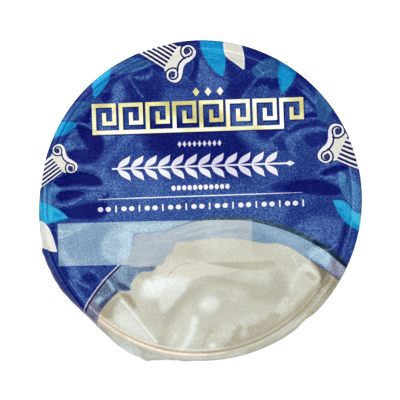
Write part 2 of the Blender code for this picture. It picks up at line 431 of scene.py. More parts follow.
def bowl_prints():
    edge = curve(*BOWL_EDGE, steps=BOWL_STEPS)
    near_side = edge[:PALE_LINE_END * BOWL_STEPS + 1]
    yield "bowl", np.vstack([edge, points(*BELOW_LID)])
    yield "bowl_shadow", ribbon(near_side + BOWL_SHADOW_SHIFT, *BOWL_SHADOW_WIDTHS)
    yield "bowl_rim", ribbon(near_side, *PALE_LINE_WIDTHS)
    for first, last, width, end_width in BOWL_LINE:
        stretch = edge[first * BOWL_STEPS:last * BOWL_STEPS + 1]
        yield "bowl_line", ribbon(stretch + BOWL_LINE_SHIFT, width, end_width)
    yield "yogurt", np.vstack([curve(*YOGURT_EDGE), points(*BELOW_LID)])
    yield "warm_film", curve(*WARM_EDGE, closed=True)
    yield "corner_film", points(*CORNER_EDGE)
    for sides in SEAL_STRETCHES:
        yield "seal_film", round_lid(sides)
    yield "field_film", points(*DATE_FIELD_EDGE)
    yield "date_field_bowl", curve(*FIELD_BOWL_EDGE, closed=True)


def round_lid(sides):
    """An outline whose sides run round the lid about the sealing tool's centre."""
    lines = []
    for side in sides:
        azimuth, radius = np.array(side).T
        share = np.linspace(0.0, len(side) - 1, SEAL_SIDE_STEPS)
        azimuth, radius = (np.interp(share, range(len(side)), values) for values in (azimuth, radius))
        angle = np.radians(azimuth)
        lines.append(np.column_stack([PRESS_X + radius * np.cos(angle), PRESS_Y - radius * np.sin(angle)]))
    return np.vstack(lines)


# Films that tint what they cover: which ink each one turns into
FILMS = {
    "field_film": {"navy": "date_field", "bowl": "date_field_bowl", "bowl_shadow": "date_field_bowl",
                   "bowl_rim": "date_field", "bowl_line": "date_field_line", "yogurt": "date_field_yogurt"},
    "warm_film": {"yogurt": "yogurt_warm"},
    "corner_film": {"yogurt": "yogurt_corner"},
    "seal_film": {"yogurt": "yogurt_seal", "bowl": "bowl_seal"},
}

# Ornament on the blue
ORNAMENT_TURN = math.radians(-1.9)
KEY_ORIGIN = (94.5, 133.0)
KEY_UNIT = 26.8
KEY_REPEATS = 8
KEY_TURNS = ((0.0, 0.0), (0.0, 27.0), (20.2, 27.0), (20.2, 9.0), (10.1, 9.0), (10.1, 17.5))
KEY_STROKE = 3.9
KEY_SHADOW_MARGIN = 1.6
KEY_SHADOW_SHIFT = (0.9, 0.7)
SPRIG_ORIGIN = (112.0, 169.0)
SPRIG_LENGTH = 178.0
SPRIG_START = 5.0
SPRIG_END = 13.0
SPRIG_STEP = 13.4
STEM_WIDTH = 1.7
BLADE_BACK = ((0.0, 0.0), (4.0, 7.0), (13.5, 12.5))
BLADE_FRONT = ((13.5, 12.5), (11.0, 4.6), (0.0, 0.0))
SPRIG_TIP = (5.0, 2.6)
BEAD_ORIGIN = (100.5, 209.6)
BEAD_STEP = 7.8
BEAD_REPEATS = 27
BEAD_RADIUS = 2.7
BEAD_SQUASH = 0.9
REEL_EVERY = 3
REEL_HALF_HEIGHT = 2.6
REEL_WIDTH = 1.5

# Rows of single motifs: middle of the row, count, step and the size of each
GOLD_LOZENGES = ((208.0, 91.5), 3, 12.0, (3.4, 4.4))
WHITE_LOZENGES = ((199.5, 143.6), 9, 5.0, (1.9, 3.0))
DOTS = ((200.5, 187.2), 11, 5.4, (2.1, 1.2))
RULE_EDGE = (
    (98, 199.3), (140, 197.45), (260, 193.35), (303, 192.2), (303, 192.6), (260, 194.45), (140, 198.55),
    (98, 199.7),
)


def key_strokes():
    """A Greek key: each unit climbs, turns in on itself and runs on along the foot."""
    for repeat in range(KEY_REPEATS):
        start = repeat * KEY_UNIT
        corners = [(start + x, y) for x, y in KEY_TURNS]
        yield from zip(corners, corners[1:])
        if repeat < KEY_REPEATS - 1:
            yield corners[0], (start + KEY_UNIT, 0.0)


def diamond(x, half_width, half_height):
    return points((x - half_width, 0.0), (x, half_height), (x + half_width, 0.0), (x, -half_height))


def dot(x, radius, squash):
    return oval((x, 0.0), radius, squash)


def blade(x, side):
    """One leaf of the sprig, on either side of its stem."""
    back, front = (
        curve(*((x + along, side * out) for along, out in edge)) for edge in (BLADE_BACK, BLADE_FRONT)
    )
    return np.vstack([back, front[1:-1]])


def on_line(origin):
    return frame_at(origin, ORNAMENT_TURN, 1.0, mirror=True)


def motif_row(motif, row):
    origin, count, step, size = row
    for repeat in range(count):
        yield on_line(origin)(motif((repeat - count // 2) * step, *size))


def ornament_prints():
    key = on_line(KEY_ORIGIN)
    for start, end in key_strokes():
        yield "key_shadow", key(bar(start, end, KEY_STROKE + KEY_SHADOW_MARGIN)) + KEY_SHADOW_SHIFT
    for start, end in key_strokes():
        yield "gold", key(bar(start, end, KEY_STROKE))
    for lozenge in motif_row(diamond, GOLD_LOZENGES):
        yield "gold", lozenge
    for lozenge in motif_row(diamond, WHITE_LOZENGES):
        yield "white", lozenge
    sprig = on_line(SPRIG_ORIGIN)
    yield "white", sprig(ribbon(points((0.0, 0.0), (SPRIG_LENGTH, 0.0)), STEM_WIDTH))
    for x in np.arange(SPRIG_START, SPRIG_LENGTH - SPRIG_END, SPRIG_STEP):
        for side in (-1.0, 1.0):
            yield "white", sprig(blade(x, side))
    yield "white", sprig(diamond(SPRIG_LENGTH, *SPRIG_TIP))
    for spot in motif_row(dot, DOTS):
        yield "white", spot
    beads = on_line(BEAD_ORIGIN)
    for repeat in range(BEAD_REPEATS):
        x = repeat * BEAD_STEP
        if repeat % REEL_EVERY == REEL_EVERY - 1:
            shape = bar((x, -REEL_HALF_HEIGHT), (x, REEL_HALF_HEIGHT), REEL_WIDTH)
        else:
            shape = dot(x, BEAD_RADIUS, BEAD_SQUASH)
        yield "white", beads(shape)
    yield "rule", points(*RULE_EDGE)


def lid_prints():
    yield from bowl_prints()
    yield from leaf_prints()
    yield from lid_capitals()
    yield from ornament_prints()


def patch(tone, soft, *outline, lift=0.0):
    """A field of one painted tone, highlight or shade, inside a closed outline."""
    return True, tone, soft, lift, outline


def stroke(tone, soft, *line, lift=0.0):
    """A streak of one painted tone, highlight or shade, along a line."""
    return False, tone, soft, lift, line


# Painted light and shade of the wrinkled foil: highlights and shade of its folds painted into the inks'
# colour over the print, with some real lift, in photo pixels, in order. Each one: its tone from -1, deep, to
# 1, pale, its softness in pixels, its outline or line, and any lift in millimetres.
PAINTED_FOLD_SHADING = (
    # Broad fields of the blue
    patch(-0.85, 9.0, (150, 122), (180, 117), (215, 121), (238, 134), (249, 152), (250, 172), (232, 176),
        (200, 168), (170, 160), (148, 152), (144, 136)),
    patch(0.25, 9.0, (100, 204), (105, 186), (122, 172), (150, 176), (182, 184), (216, 187), (256, 190),
        (264, 206), (262, 224), (180, 226), (110, 226)),
    patch(0.42, 6.0, (112, 184), (130, 180), (150, 182), (166, 190), (150, 200), (118, 198)),
    patch(0.12, 6.0, (166, 84), (176, 87), (192, 90), (206, 100), (206, 113), (180, 113), (162, 106),
        (158, 92)),
    patch(0.35, 5.0, (232, 118), (246, 114), (254, 126), (262, 137), (274, 144), (268, 151), (248, 143),
        (238, 132)),
    patch(0.30, 6.0, (258, 205), (276, 203), (292, 206), (288, 215), (276, 220), (264, 215)),
    patch(-0.12, 5.0, (292, 200), (312, 198), (330, 199), (334, 208), (318, 212), (300, 220), (288, 220),
        (288, 212)),
    patch(0.42, 3.6, (294, 227), (304, 222), (316, 216), (330, 218), (342, 222), (342, 234), (332, 243),
        (317, 241), (304, 235)),
    patch(-0.70, 5.0, (227, 84), (240, 73), (250, 72), (254, 80), (247, 91), (240, 101), (229, 98)),
    patch(-0.80, 3.0, (289, 90), (296, 85), (302, 92), (306, 100), (296, 99), (286, 98)),
    patch(-0.85, 3.0, (247, 77), (262, 78), (278, 77), (281, 86), (272, 90), (258, 87), (249, 86)),
    patch(-0.60, 2.4, (297, 72), (302, 76), (308, 84), (318, 96), (314, 99), (304, 92), (295, 85)),
    patch(-0.45, 1.6, (184, 42), (198, 41), (202, 54), (203, 60), (197, 58), (192, 54)),
    patch(-0.80, 5.0, (257, 130), (270, 127), (284, 124), (286, 130), (275, 137), (263, 140)),
    patch(-0.68, 6.0, (128, 82), (160, 74), (163, 96), (150, 112), (132, 108)),
    patch(-0.30, 3.0, (166, 78), (174, 84), (188, 82), (196, 80), (194, 88), (178, 88), (166, 85)),
    # Left side, from the top down
    stroke(-0.55, 0.9, (113, 72.4), (128, 66), (142, 60)),
    stroke(0.40, 0.7, (114, 73), (127, 73.4), (140, 69), (151, 62)),
    stroke(-0.65, 0.9, (96, 92), (101, 86), (107, 80)),
    stroke(0.55, 1.1, (93, 84), (101, 77), (110, 70.4)),
    patch(0.42, 2.0, (114, 86), (118, 81), (123, 85), (124.5, 96), (119, 103), (113.5, 112), (111, 109),
        (113.4, 98), (113, 90), lift=0.10),
    patch(-0.90, 1.7, (101, 95), (106, 91), (110.5, 92), (111, 97), (107, 102), (102, 101)),
    patch(-0.60, 1.8, (104, 86), (109, 79), (116, 78), (112, 86), (111, 92), (105, 92)),
    stroke(0.45, 1.4, (96, 97), (100, 93), (106, 91), lift=0.06),
    patch(-0.60, 1.4, (133, 75), (140, 71), (150, 68), (149, 72), (141, 75)),
    patch(0.32, 1.3, (128, 76), (136, 76.6), (146, 75), (151, 71), (153, 74), (148, 80), (138, 80),
        lift=0.06),
    patch(-0.60, 1.5, (151, 64), (158, 62), (165, 69), (160, 73), (154, 70)),
    stroke(0.30, 1.2, (128, 75), (133, 84), (139, 93), (143, 97), lift=0.06),
    patch(-0.95, 1.4, (97, 105), (91, 106.5), (86, 114), (79, 121), (87, 123.5), (92.5, 121), (93, 115),
        lift=-0.08),
    patch(0.15, 1.7, (98, 104), (100, 112), (93, 123), (90, 120), (94, 112)),
    patch(-0.95, 1.9, (76, 124.6), (84, 126.6), (93, 131), (102, 137), (104, 148), (99, 157), (90, 152),
        (84, 142), (79, 133), lift=-0.08),
    patch(-0.90, 1.6, (67, 153), (76, 149.5), (88, 149.5), (100, 152), (98, 160), (88, 165.4), (75, 162),
        lift=-0.06),
    stroke(0.45, 0.8, (78, 122.6), (85, 124.6), (93, 128.6), (104, 135.5), lift=0.06),
    patch(0.40, 2.2, (100, 128), (108, 126), (115, 133), (112, 141), (103, 138)),
    patch(0.30, 1.4, (67, 131), (76, 131), (77, 136), (69, 137)),
    patch(-0.50, 1.6, (82, 106), (92, 103.5), (91, 109), (84, 113)),
    patch(-0.70, 1.8, (132, 56), (141, 54), (148, 60), (139, 61)),
    patch(0.40, 1.9, (64, 140), (73, 141), (75, 148), (69, 151), (64, 147)),
    patch(0.32, 2.4, (135, 132), (131, 140), (121, 149), (113, 158), (108, 170), (110, 186), (104, 190),
        (101, 182), (102, 168), (107, 156), (117, 146), (127, 136), lift=0.08),
    patch(0.35, 1.4, (137, 143), (141, 142), (142, 147), (138, 148)),
    stroke(0.32, 2.6, (76, 169), (88, 167.5), (98, 170), (104, 176), lift=0.08),
    patch(-1.0, 1.4, (54, 181), (60, 177), (70, 172.8), (82, 172), (93, 175), (100, 179.6), (102, 185),
        (90, 187), (76, 185.8), (62, 187), (56, 185), lift=-0.16),
    stroke(0.40, 1.8, (56, 189.4), (66, 189.4), (80, 187.8), (92, 188.6), (106, 190), lift=0.10),
    patch(-1.0, 1.4, (60, 192), (67, 190.6), (76, 191), (84, 193), (80, 196.6), (72, 200), (64, 201.4),
        (58, 200), (57, 196), lift=-0.14),
    patch(0.35, 1.7, (84, 199), (88, 192.6), (98, 191.6), (106, 193), (103, 199), (92, 200), lift=0.06),
    patch(-0.75, 1.4, (102, 194), (105, 196), (109, 192.6), (108, 197), (104, 199.2), lift=-0.05),
    patch(-0.85, 1.9, (60, 208), (72, 207.4), (82, 204.6), (95, 203), (106, 203), (108, 211), (102, 218),
        (88, 220), (74, 219), (64, 216), lift=-0.08),
    stroke(0.60, 0.8, (52, 201), (58, 204.6), (66, 205.4), (74, 203), (81, 199), lift=0.10),
    stroke(0.40, 0.8, (51.5, 188), (52.5, 194), (51.5, 201)),
    patch(-0.85, 1.5, (38, 187), (44, 183), (51, 178), (52, 183), (50, 189), (45, 192), (38, 194)),
    stroke(0.50, 0.7, (45, 186), (44.6, 194), (44, 201)),
    stroke(-0.45, 1.6, (53, 195), (53, 203)),
    # Top and right side
    patch(-0.75, 1.4, (192.5, 56), (197.5, 58), (198.5, 70), (195, 80), (190, 80), (189, 76), (193, 68),
        lift=-0.08),
    patch(-0.25, 1.4, (192.5, 60), (192.5, 70), (187, 77), (182.5, 77), (184, 69), (188, 63.5), lift=0.04),
    stroke(0.25, 0.8, (193, 60), (192, 70), (187.5, 77), (182, 78)),
    patch(0.34, 1.0, (200.5, 58), (204, 61), (211, 72), (218, 78), (226, 80), (228, 85), (222, 91), (212, 94),
        (203, 89), (197.6, 84), (199.2, 71), lift=0.12),
    stroke(0.22, 1.5, (257, 78), (250, 88), (243, 98), (240, 103), lift=0.10),
    patch(0.15, 2.4, (258, 88), (264, 85), (270, 90), (266, 96), (260, 95)),
    patch(-0.70, 1.3, (245, 49), (262, 53), (280, 61), (262, 60.5), (253, 67.4), (246, 69)),
    patch(-0.60, 1.7, (226, 58), (234, 65), (243, 70), (252, 73), (250, 80), (238, 79), (228, 76)),
    patch(-0.40, 1.3, (252, 72), (256, 67), (263, 61.5), (281, 62), (278, 77), (260, 77.6)),
    stroke(0.35, 0.9, (257, 66), (260, 70), (263, 73)),
    stroke(0.35, 0.8, (261, 74.6), (266, 72), (272, 70)),
    stroke(0.85, 0.9, (246, 56.4), (254, 59), (262, 62.4)),
    patch(-0.30, 2.2, (199, 38), (224, 38), (225, 57), (219, 65), (210, 63), (203, 54)),
    stroke(0.50, 0.6, (200, 49), (212, 51), (224, 53)),
    stroke(0.42, 0.6, (203, 57), (212, 57.4), (220, 59)),
    stroke(0.40, 0.9, (294, 77.5), (306, 88.5), (316, 100.5)),
    stroke(0.95, 0.9, (303, 90.5), (309, 96), (315, 102.5)),
    patch(-0.70, 1.3, (166, 45), (184, 41.5), (198, 40.5), (198, 46), (184, 46.5), (170, 50)),
    patch(-0.60, 1.4, (226, 42), (243, 44), (245, 60), (243, 70), (234, 64), (226, 57)),
    patch(-0.35, 1.7, (318, 96), (324, 104), (329, 112), (324, 122), (319, 116), (317, 104)),
    patch(0.38, 1.4, (304.5, 101), (309.5, 106.5), (314.5, 113), (309, 112.6), (304.4, 117), (301, 116),
        (302, 108), lift=0.10),
    patch(-0.85, 1.4, (305, 115), (311, 112.5), (316.5, 113), (317, 117), (310, 118), (305.6, 118),
        lift=-0.08),
    stroke(0.32, 0.9, (290, 128), (297, 123), (306, 119.6), (317, 117.6), lift=0.08),
    patch(-0.60, 1.7, (287, 131), (297, 125.5), (308, 122), (320, 120), (327, 126), (316, 126.6),
        (304, 128.5), (292, 133), lift=-0.06),
    patch(0.38, 1.7, (288, 137), (297, 131.6), (310, 128.4), (321, 127.8), (326, 130.4), (314, 132),
        (304, 135), (297, 142), (295, 151), (298, 158), (293, 158), (288, 150), (286, 143), lift=0.10),
    patch(-0.62, 2.4, (304, 138), (316, 133), (327, 133), (328, 140), (320, 145), (310, 147), lift=-0.06),
    stroke(0.26, 1.5, (270, 141), (280, 133), (292, 127), lift=0.08),
    stroke(0.32, 0.9, (270, 141), (274, 145), (278, 151)),
    patch(-0.40, 1.4, (273, 142), (280, 137), (286, 146), (286, 150), (280, 150)),
    patch(-1.0, 1.4, (320, 174), (326, 169.5), (334, 166.4), (343, 165), (349, 168), (342, 171), (333, 174),
        (325, 176), lift=-0.12),
    stroke(0.35, 1.6, (317, 173), (326, 165.8), (338, 162.8), lift=0.08),
    stroke(0.40, 1.5, (317, 174), (325, 177.6), (335, 178.4), (339, 184), lift=0.10),
    patch(-0.60, 4.0, (272, 187), (284, 182), (300, 180), (300, 192), (286, 193)),
    patch(-0.95, 1.6, (286, 187), (294, 183), (305, 180), (320, 180), (331, 183.4), (339, 188), (341, 194),
        (334, 195.6), (318, 195), (302, 194), (291, 192), lift=-0.14),
    patch(0.45, 1.7, (338, 173), (344, 172), (346, 180), (341, 184)),
    patch(-0.50, 1.6, (346, 178), (351, 182), (352, 194), (348, 194)),
    patch(0.50, 1.3, (334, 200.6), (341, 200.6), (345, 204), (340, 207), (336, 205)),
    patch(0.30, 1.3, (342, 206), (347, 207), (351, 214), (348, 218), (343, 213)),
    patch(0.85, 1.3, (351, 211), (362, 216), (361, 226), (354, 221)),
    stroke(-1.0, 2.6, (315, 243), (326, 249.5), (346, 266)),
    patch(-0.15, 1.9, (345, 222), (351, 229), (354, 240), (350, 250), (343, 250), (343, 236)),
    stroke(0.30, 1.0, (339, 252), (345, 247), (343, 234)),
    # Date field
    patch(0.28, 2.0, (59, 225), (76, 224), (92, 223.6), (80, 230), (70, 235), (58, 237.5)),
    stroke(0.80, 0.9, (50, 230), (57, 231), (70, 231.6)),
    stroke(0.60, 0.9, (52, 236), (60, 238), (70, 234), (80, 229)),
    patch(-0.15, 4.0, (70, 237), (84, 229), (108, 226), (104, 236), (98, 250), (80, 252), (70, 246)),
    patch(0.40, 2.6, (61, 247), (66, 252), (70, 259), (76, 265), (60, 265)),
    patch(0.55, 4.0, (112, 229), (122, 226), (130, 230), (128, 245), (126, 262), (110, 261), (101, 252),
        (102, 240)),
    patch(0.95, 2.4, (119, 234), (131, 232), (132, 244), (128, 257), (119, 258), (121, 246)),
    patch(0.75, 3.0, (124, 224), (160, 222.5), (186, 221.5), (172, 227), (158, 232), (134, 232)),
    stroke(0.40, 1.0, (176, 234), (196, 227), (222, 223)),
    stroke(0.35, 1.0, (186, 236), (210, 230), (238, 227)),
    stroke(-0.30, 1.4, (180, 240), (204, 236), (228, 231), (248, 231)),
    # Pale leaves at the left
    patch(0.65, 2.0, (38, 200), (49, 205), (53, 212), (51, 222), (42, 223)),
    patch(0.00, 2.0, (55, 210), (62, 212), (67, 218), (56, 221)),
    patch(0.40, 2.0, (38, 224), (46, 228), (52, 240), (55, 250), (40, 247)),
    patch(-0.45, 2.0, (110, 70), (130, 56), (150, 60), (140, 70), (124, 74)),
    stroke(0.60, 0.8, (53, 208), (60, 213), (67, 218)),
    stroke(0.60, 0.8, (50, 220), (58, 218), (64, 217)),
    stroke(-0.35, 0.8, (47, 206), (46.5, 214), (48, 222)),
    # Foot of the blue, left of the bowl
    patch(0.50, 2.0, (69, 268), (78, 268), (82, 277), (76, 281), (71, 275), lift=0.06),
    patch(-0.60, 2.5, (82, 276), (90, 273), (97, 276), (96, 283), (88, 283), lift=-0.06),
    stroke(0.40, 1.2, (84, 267), (94, 273), (104, 282), lift=0.06),
    stroke(0.75, 1.1, (74, 280), (82, 284), (88, 287), (95, 291), lift=0.10),
    patch(-0.40, 2.6, (80, 286), (88, 289), (98, 284), (98, 290), (92, 297), (86, 296)),
    # Bowl rim
    patch(-0.50, 3.0, (88, 305), (100, 288), (111, 275), (119, 280), (125, 288), (112, 292), (103, 302),
        (97, 314), (92, 322), (85, 314)),
    stroke(0.55, 1.5, (106, 279), (110, 284), (114, 291), lift=0.04),
    patch(0.0, 2.2, (118, 267), (129, 266), (131, 276), (126, 285), (119, 280), lift=0.06),
    patch(-0.90, 1.8, (117, 283), (124, 284), (130, 289), (126, 290.5), (120, 289), lift=-0.06),
    patch(0.45, 2.0, (95, 301), (100, 297), (104, 300), (100, 305), lift=0.06),
    patch(-0.80, 2.2, (100, 303), (108, 299), (106, 304), (100, 311), (97, 316)),
    stroke(-0.90, 2.4, (101, 309), (108, 300), (116, 292)),
    patch(-0.55, 2.4, (86, 310), (94, 306), (98, 314), (95, 322), (88, 320)),
    stroke(0.40, 0.9, (88, 305), (92, 309), (98, 315)),
    patch(-0.60, 2.0, (140, 267), (157, 265), (154, 270), (141, 271)),
    patch(0.20, 3.0, (262, 224), (280, 230), (296, 238), (300, 246), (286, 242), (262, 232)),
    patch(0.60, 3.0, (308, 254), (316, 247), (328, 250), (332, 258), (327, 266), (316, 261), lift=0.06),
    stroke(-0.55, 1.3, (317, 264), (324, 268.6), (338, 279)),
    patch(-0.30, 1.8, (129, 268), (139, 268), (135, 275), (131, 283), (127, 278)),
    stroke(0.80, 0.8, (310, 257), (317, 252), (324, 250.4), (331, 249), (337, 243.5)),
    patch(-0.30, 1.8, (331, 259), (336, 262), (338, 274), (333, 272), lift=-0.05),
    patch(0.20, 1.8, (337, 262), (345, 268), (343, 276), (339, 272)),
    # Pictured yogurt: the printed swirl and its hollows, with painted highlights and shade of the foil over
    # them
    patch(-0.22, 6.0, (160, 246), (178, 243), (200, 244), (200, 260), (176, 260), (160, 262)),
    stroke(-0.30, 6.0, (160, 346), (164, 332), (173, 315), (185, 298), (200, 287), (214, 281), (236, 283),
        (258, 288), (280, 292), lift=-0.06),
    patch(-0.30, 6.0, (250, 286), (270, 285), (286, 290), (282, 300), (266, 305), (250, 298), lift=-0.05),
    patch(-0.38, 4.0, (268, 274), (279, 271), (287, 279), (284, 289), (273, 286), lift=-0.05),
    patch(0.08, 3.0, (214, 271), (240, 271), (250, 273), (250, 281), (240, 281), (216, 276)),
    patch(-0.10, 3.0, (254, 272), (264, 271), (270, 276), (266, 283), (256, 282)),
    patch(-0.45, 3.0, (140, 271), (153, 270), (152, 276), (144, 279), (138, 277)),
    patch(0.60, 4.5, (143, 287), (147, 281), (153, 281), (158, 276), (172, 277), (190, 281), (182, 289),
        (174, 296), (164, 306), (158, 301), (148, 299), (140, 296), lift=0.10),
    patch(0.80, 4.0, (146, 284), (156, 282), (166, 281), (162, 292), (154, 297), (147, 293)),
    patch(0.55, 3.0, (160, 298), (170, 290), (182, 284), (186, 288), (179, 297), (171, 306), (162, 312)),
    patch(0.72, 5.5, (202, 301), (210, 297), (218, 301), (217, 309), (208, 313), (201, 308), lift=0.10),
    stroke(0.60, 3.4, (195, 320), (192, 333), (186, 344), (181, 349), lift=0.10),
    stroke(0.28, 3.0, (176, 337), (172, 343), lift=0.05),
    patch(0.70, 1.8, (209, 345), (213, 343), (216, 346), (212, 348), lift=0.06),
    stroke(-0.30, 1.8, (203, 346), (206, 338), (211, 332)),
    patch(-0.05, 7.0, (225, 304), (246, 300), (272, 304), (276, 314), (250, 318), (228, 320)),
    patch(-0.62, 2.6, (232, 342), (232, 335), (238, 327), (243, 327), (241, 334), (240, 342), lift=-0.05),
    patch(-0.55, 3.0, (247, 326), (256, 324), (264, 320), (267, 326), (258, 333), (248, 335), lift=-0.05),
    patch(0.12, 3.0, (241, 318), (252, 313), (258, 320), (252, 324), (245, 327), (242, 325), lift=0.05),
    patch(-0.50, 2.6, (264, 321), (273, 313), (280, 312), (279, 319), (268, 328), lift=-0.05),
    patch(-0.38, 0.9, (207, 263.4), (222, 262.4), (250, 262.0), (272, 261.6), (275, 267), (262, 270.6),
        (244, 269.6), (226, 267.0), lift=-0.04),
    stroke(-0.45, 0.8, (169, 276), (176, 268), (184, 264.4), (189, 264), lift=-0.05),
    patch(-0.70, 2.6, (100, 311), (108, 303), (116, 297), (120, 299), (114, 309), (112, 318), (104, 318),
        lift=-0.04),
    patch(-0.80, 2.2, (119, 293), (128, 294), (135, 303), (136, 309), (131, 306), (124, 299), lift=-0.06),
    patch(0.30, 4.0, (104, 330), (118, 342), (134, 352), (150, 360), (138, 366), (112, 352), (96, 336)),
    patch(0.85, 1.8, (120, 348), (128, 346), (134, 352), (130, 362), (122, 358)),
    patch(0.70, 1.6, (136, 352), (141, 352), (140, 362), (135, 364)),
    stroke(0.95, 1.1, (128, 343), (131, 346), (133.5, 350), (132, 354.5)),
    stroke(0.90, 0.9, (125, 344), (129, 348), (130.5, 352)),
    stroke(0.70, 1.0, (107, 334), (114, 340), (121, 346.5)),
    patch(-0.35, 2.0, (98, 326), (108, 336), (110, 342), (98, 336)),
    patch(0.55, 1.6, (174, 360), (180, 360), (180, 367), (174, 366)),
    patch(0.40, 3.2, (115, 319), (122, 312), (129, 314), (141, 326), (155, 342), (148, 341), (134, 335),
        (121, 327), lift=0.08),
    stroke(0.72, 1.2, (122, 301), (136, 317), (148, 332), (157, 342), lift=0.14),
    patch(0.25, 3.0, (276, 312), (280, 303), (285, 297), (289, 298), (286, 308), (282, 313), lift=0.06),
    stroke(0.34, 1.2, (292, 256), (296, 263), (299, 270), lift=0.06),
    stroke(0.24, 2.4, (300, 272), (295, 280), (292, 290), lift=0.06),
    patch(0.34, 1.8, (299, 272), (303, 265.4), (309, 263.4), (314, 271), (316, 277), (311, 272.6), (305, 271),
        lift=0.08),
    patch(-0.42, 1.5, (305, 274), (311, 273), (317, 279), (312, 280), lift=-0.06),
    patch(-0.62, 4.0, (294, 312), (301, 302), (312, 291), (319, 284), (321, 290), (315, 303), (306, 316),
        (296, 321), lift=-0.06),
    patch(-1.0, 2.2, (311, 261), (323, 268), (331, 275), (330, 281), (326, 286), (321, 288), (319.5, 282),
        (320, 275)),
)

# Painted highlights and shade along the rings that the sealing tool pressed into the flange, and over the
# bent edge
# and the tab. Each one: its tone, its softness in pixels, and its line as azimuths in degrees and distances
# in pixels from the tool's own centre.
PAINTED_RING_SHADING = (
    (-0.85, 11.0, (196, 174), (224, 174)),
    (0.30, 0.9, (203, 166), (212, 167.5)),
    (0.10, 1.2, (213, 167), (222, 166)),
    (0.30, 3.6, (-3, 156), (9, 156)),
    (1.00, 0.70, (-14, 152.8), (-8, 153.2), (0, 153.4), (13, 153.0)),
    (0.50, 0.60, (-14, 147.5), (-6, 148.2), (6, 148.4)),
    (0.60, 0.60, (-3, 156.2), (10, 155.8)),
    (-0.75, 2.6, (-23, 148.0), (-9, 147.5)),
    (0.45, 0.50, (-22, 153.6), (-12, 153.2)),
    (0.30, 0.50, (-23, 151.6), (-14, 151.4)),
    (0.50, 0.60, (-18, 157.4), (-12, 157.0)),
    (-0.40, 3.0, (47, 155), (54, 155)),
    (-0.80, 2.5, (45, 158.8), (62, 158.8)),
    (-0.60, 2.0, (30, 158.4), (34, 158.4)),
    (0.25, 0.43, (41, 155.2), (50, 155.2)),
    (0.20, 0.43, (41, 149.2), (50, 149.2)),
    (0.60, 0.50, (41, 151.1), (46.5, 150.8)),
    (-0.80, 1.0, (36, 147.2), (50, 147.2)),
    (-0.80, 5.0, (65, 155), (74, 155)),
    (0.55, 0.50, (64, 151.0), (70, 151.3), (76, 151.6)),
    (0.50, 0.58, (76, 150.8), (80, 151.5), (90, 151.8)),
    (0.30, 0.58, (80, 145.3), (89, 145.8)),
    (0.40, 0.58, (91, 156.0), (94, 156.2)),
    (-0.55, 1.0, (108, 152.0), (126, 151.6)),
    (-0.35, 0.9, (112, 154.6), (126, 154.0)),
    (0.50, 0.58, (107, 144.0), (113, 144.2), (120, 146.5)),
    (-0.55, 1.4, (118, 146.0), (136, 146.2)),
    (0.15, 1.3, (121, 157.4), (134, 157.4)),
    (-0.50, 3.0, (135, 158), (147, 158)),
    (0.60, 0.43, (136, 157.4), (139, 157.2)),
    (0.60, 0.43, (140, 156.6), (142, 156.6)),
    (0.20, 1.6, (148, 157.0), (158, 157.0)),
    (-0.35, 3.0, (158, 156.5), (163, 156.5)),
    (0.70, 2.6, (125, 159.5), (132.6, 159.5)),
    (0.55, 2.4, (151, 159.5), (156.4, 159.5)),
    (-0.95, 1.0, (124, 153.6), (135, 154.0), (158, 154.4)),
    (-0.55, 0.58, (128, 150.6), (146, 151.0), (158, 151.4)),
    (-0.70, 1.8, (144, 147.0), (158, 148.6)),
    (0.45, 2.2, (175, 151.0), (182, 151.4)),
    (0.80, 1.3, (175, 155.8), (188, 155.6)),
    (-0.50, 0.8, (174, 153.2), (188, 153.2)),
    (-0.45, 0.58, (177, 157.5), (188, 157.3)),
    (-0.60, 2.4, (189, 149.5), (197, 150.5)),
    (0.35, 1.8, (197, 162.0), (204, 162.4), (211, 161.4)),
    (-0.85, 1.2, (198, 158.6), (224, 158.8)),
    (-0.55, 1.2, (208, 156.8), (222, 156.9)),
    (-0.70, 3.0, (203, 153.0), (210.5, 153.0)),
    (1.00, 0.60, (211.6, 153.6), (222, 153.4)),
    (0.35, 0.60, (225, 153.2), (230, 153.2)),
    (0.55, 0.60, (207.5, 150.0), (213, 150.8), (221, 150.6)),
    (0.30, 0.50, (206, 160.2), (222, 160.2)),
    (-0.50, 1.4, (219, 161.8), (226, 161.6)),
    (-0.25, 1.6, (249, 165.6), (252.5, 165.0), (257, 163.4)),
    (-0.30, 1.3, (229, 154.2), (256, 153.8)),
    (-0.50, 1.3, (254, 153.4), (270, 152.2), (280, 152.0)),
    (0.05, 2.4, (229, 159.0), (236, 159.0)),
    (0.50, 3.6, (236, 162.0), (249, 162.4)),
    (0.35, 3.2, (250, 160.4), (262, 159.6)),
    (1.00, 0.8, (241.5, 166.0), (242.6, 161.5), (243.8, 160.4)),
    (1.00, 0.8, (243.8, 160.4), (244.8, 163.0), (245.8, 166.5)),
    (1.00, 0.7, (246.4, 161.0), (247.6, 166.0)),
    (0.60, 2.4, (250, 165.5), (254, 164.0), (259, 161.5)),
    (0.55, 1.1, (230, 155.8), (240, 155.8)),
    (0.90, 1.2, (241, 155.8), (255, 155.5), (264, 154.8), (270, 154.4), (273, 154.2)),
    (0.45, 1.0, (273, 154.2), (280, 154.0)),
    (0.60, 0.43, (228, 152.8), (242, 151.8), (250, 151.4), (256, 151.0), (264, 149.8), (277, 149.4)),
    (0.32, 2.6, (262, 159.4), (272, 158.6)),
    (0.15, 2.8, (272, 158.8), (286, 158.8)),
    (-0.30, 4.0, (287, 158.0), (312, 157.6)),
    (-0.60, 5.0, (312, 157.4), (331, 157.0)),
    (-0.58, 5.0, (279, 148.5), (300, 147.5), (323, 147.0)),
    (-0.80, 0.9, (270, 152.0), (290, 151.6), (305, 150.4), (318, 149.6)),
    (-0.05, 1.00, (284, 154.8), (306, 154.6), (326, 154.4)),
    (0.10, 2.0, (300, 156.0), (313, 156.0)),
    (-0.75, 1.6, (308, 149.0), (320, 148.8), (331, 148.8)),
    (-0.80, 2.4, (325, 157.8), (331, 157.6)),
)


# Meshes

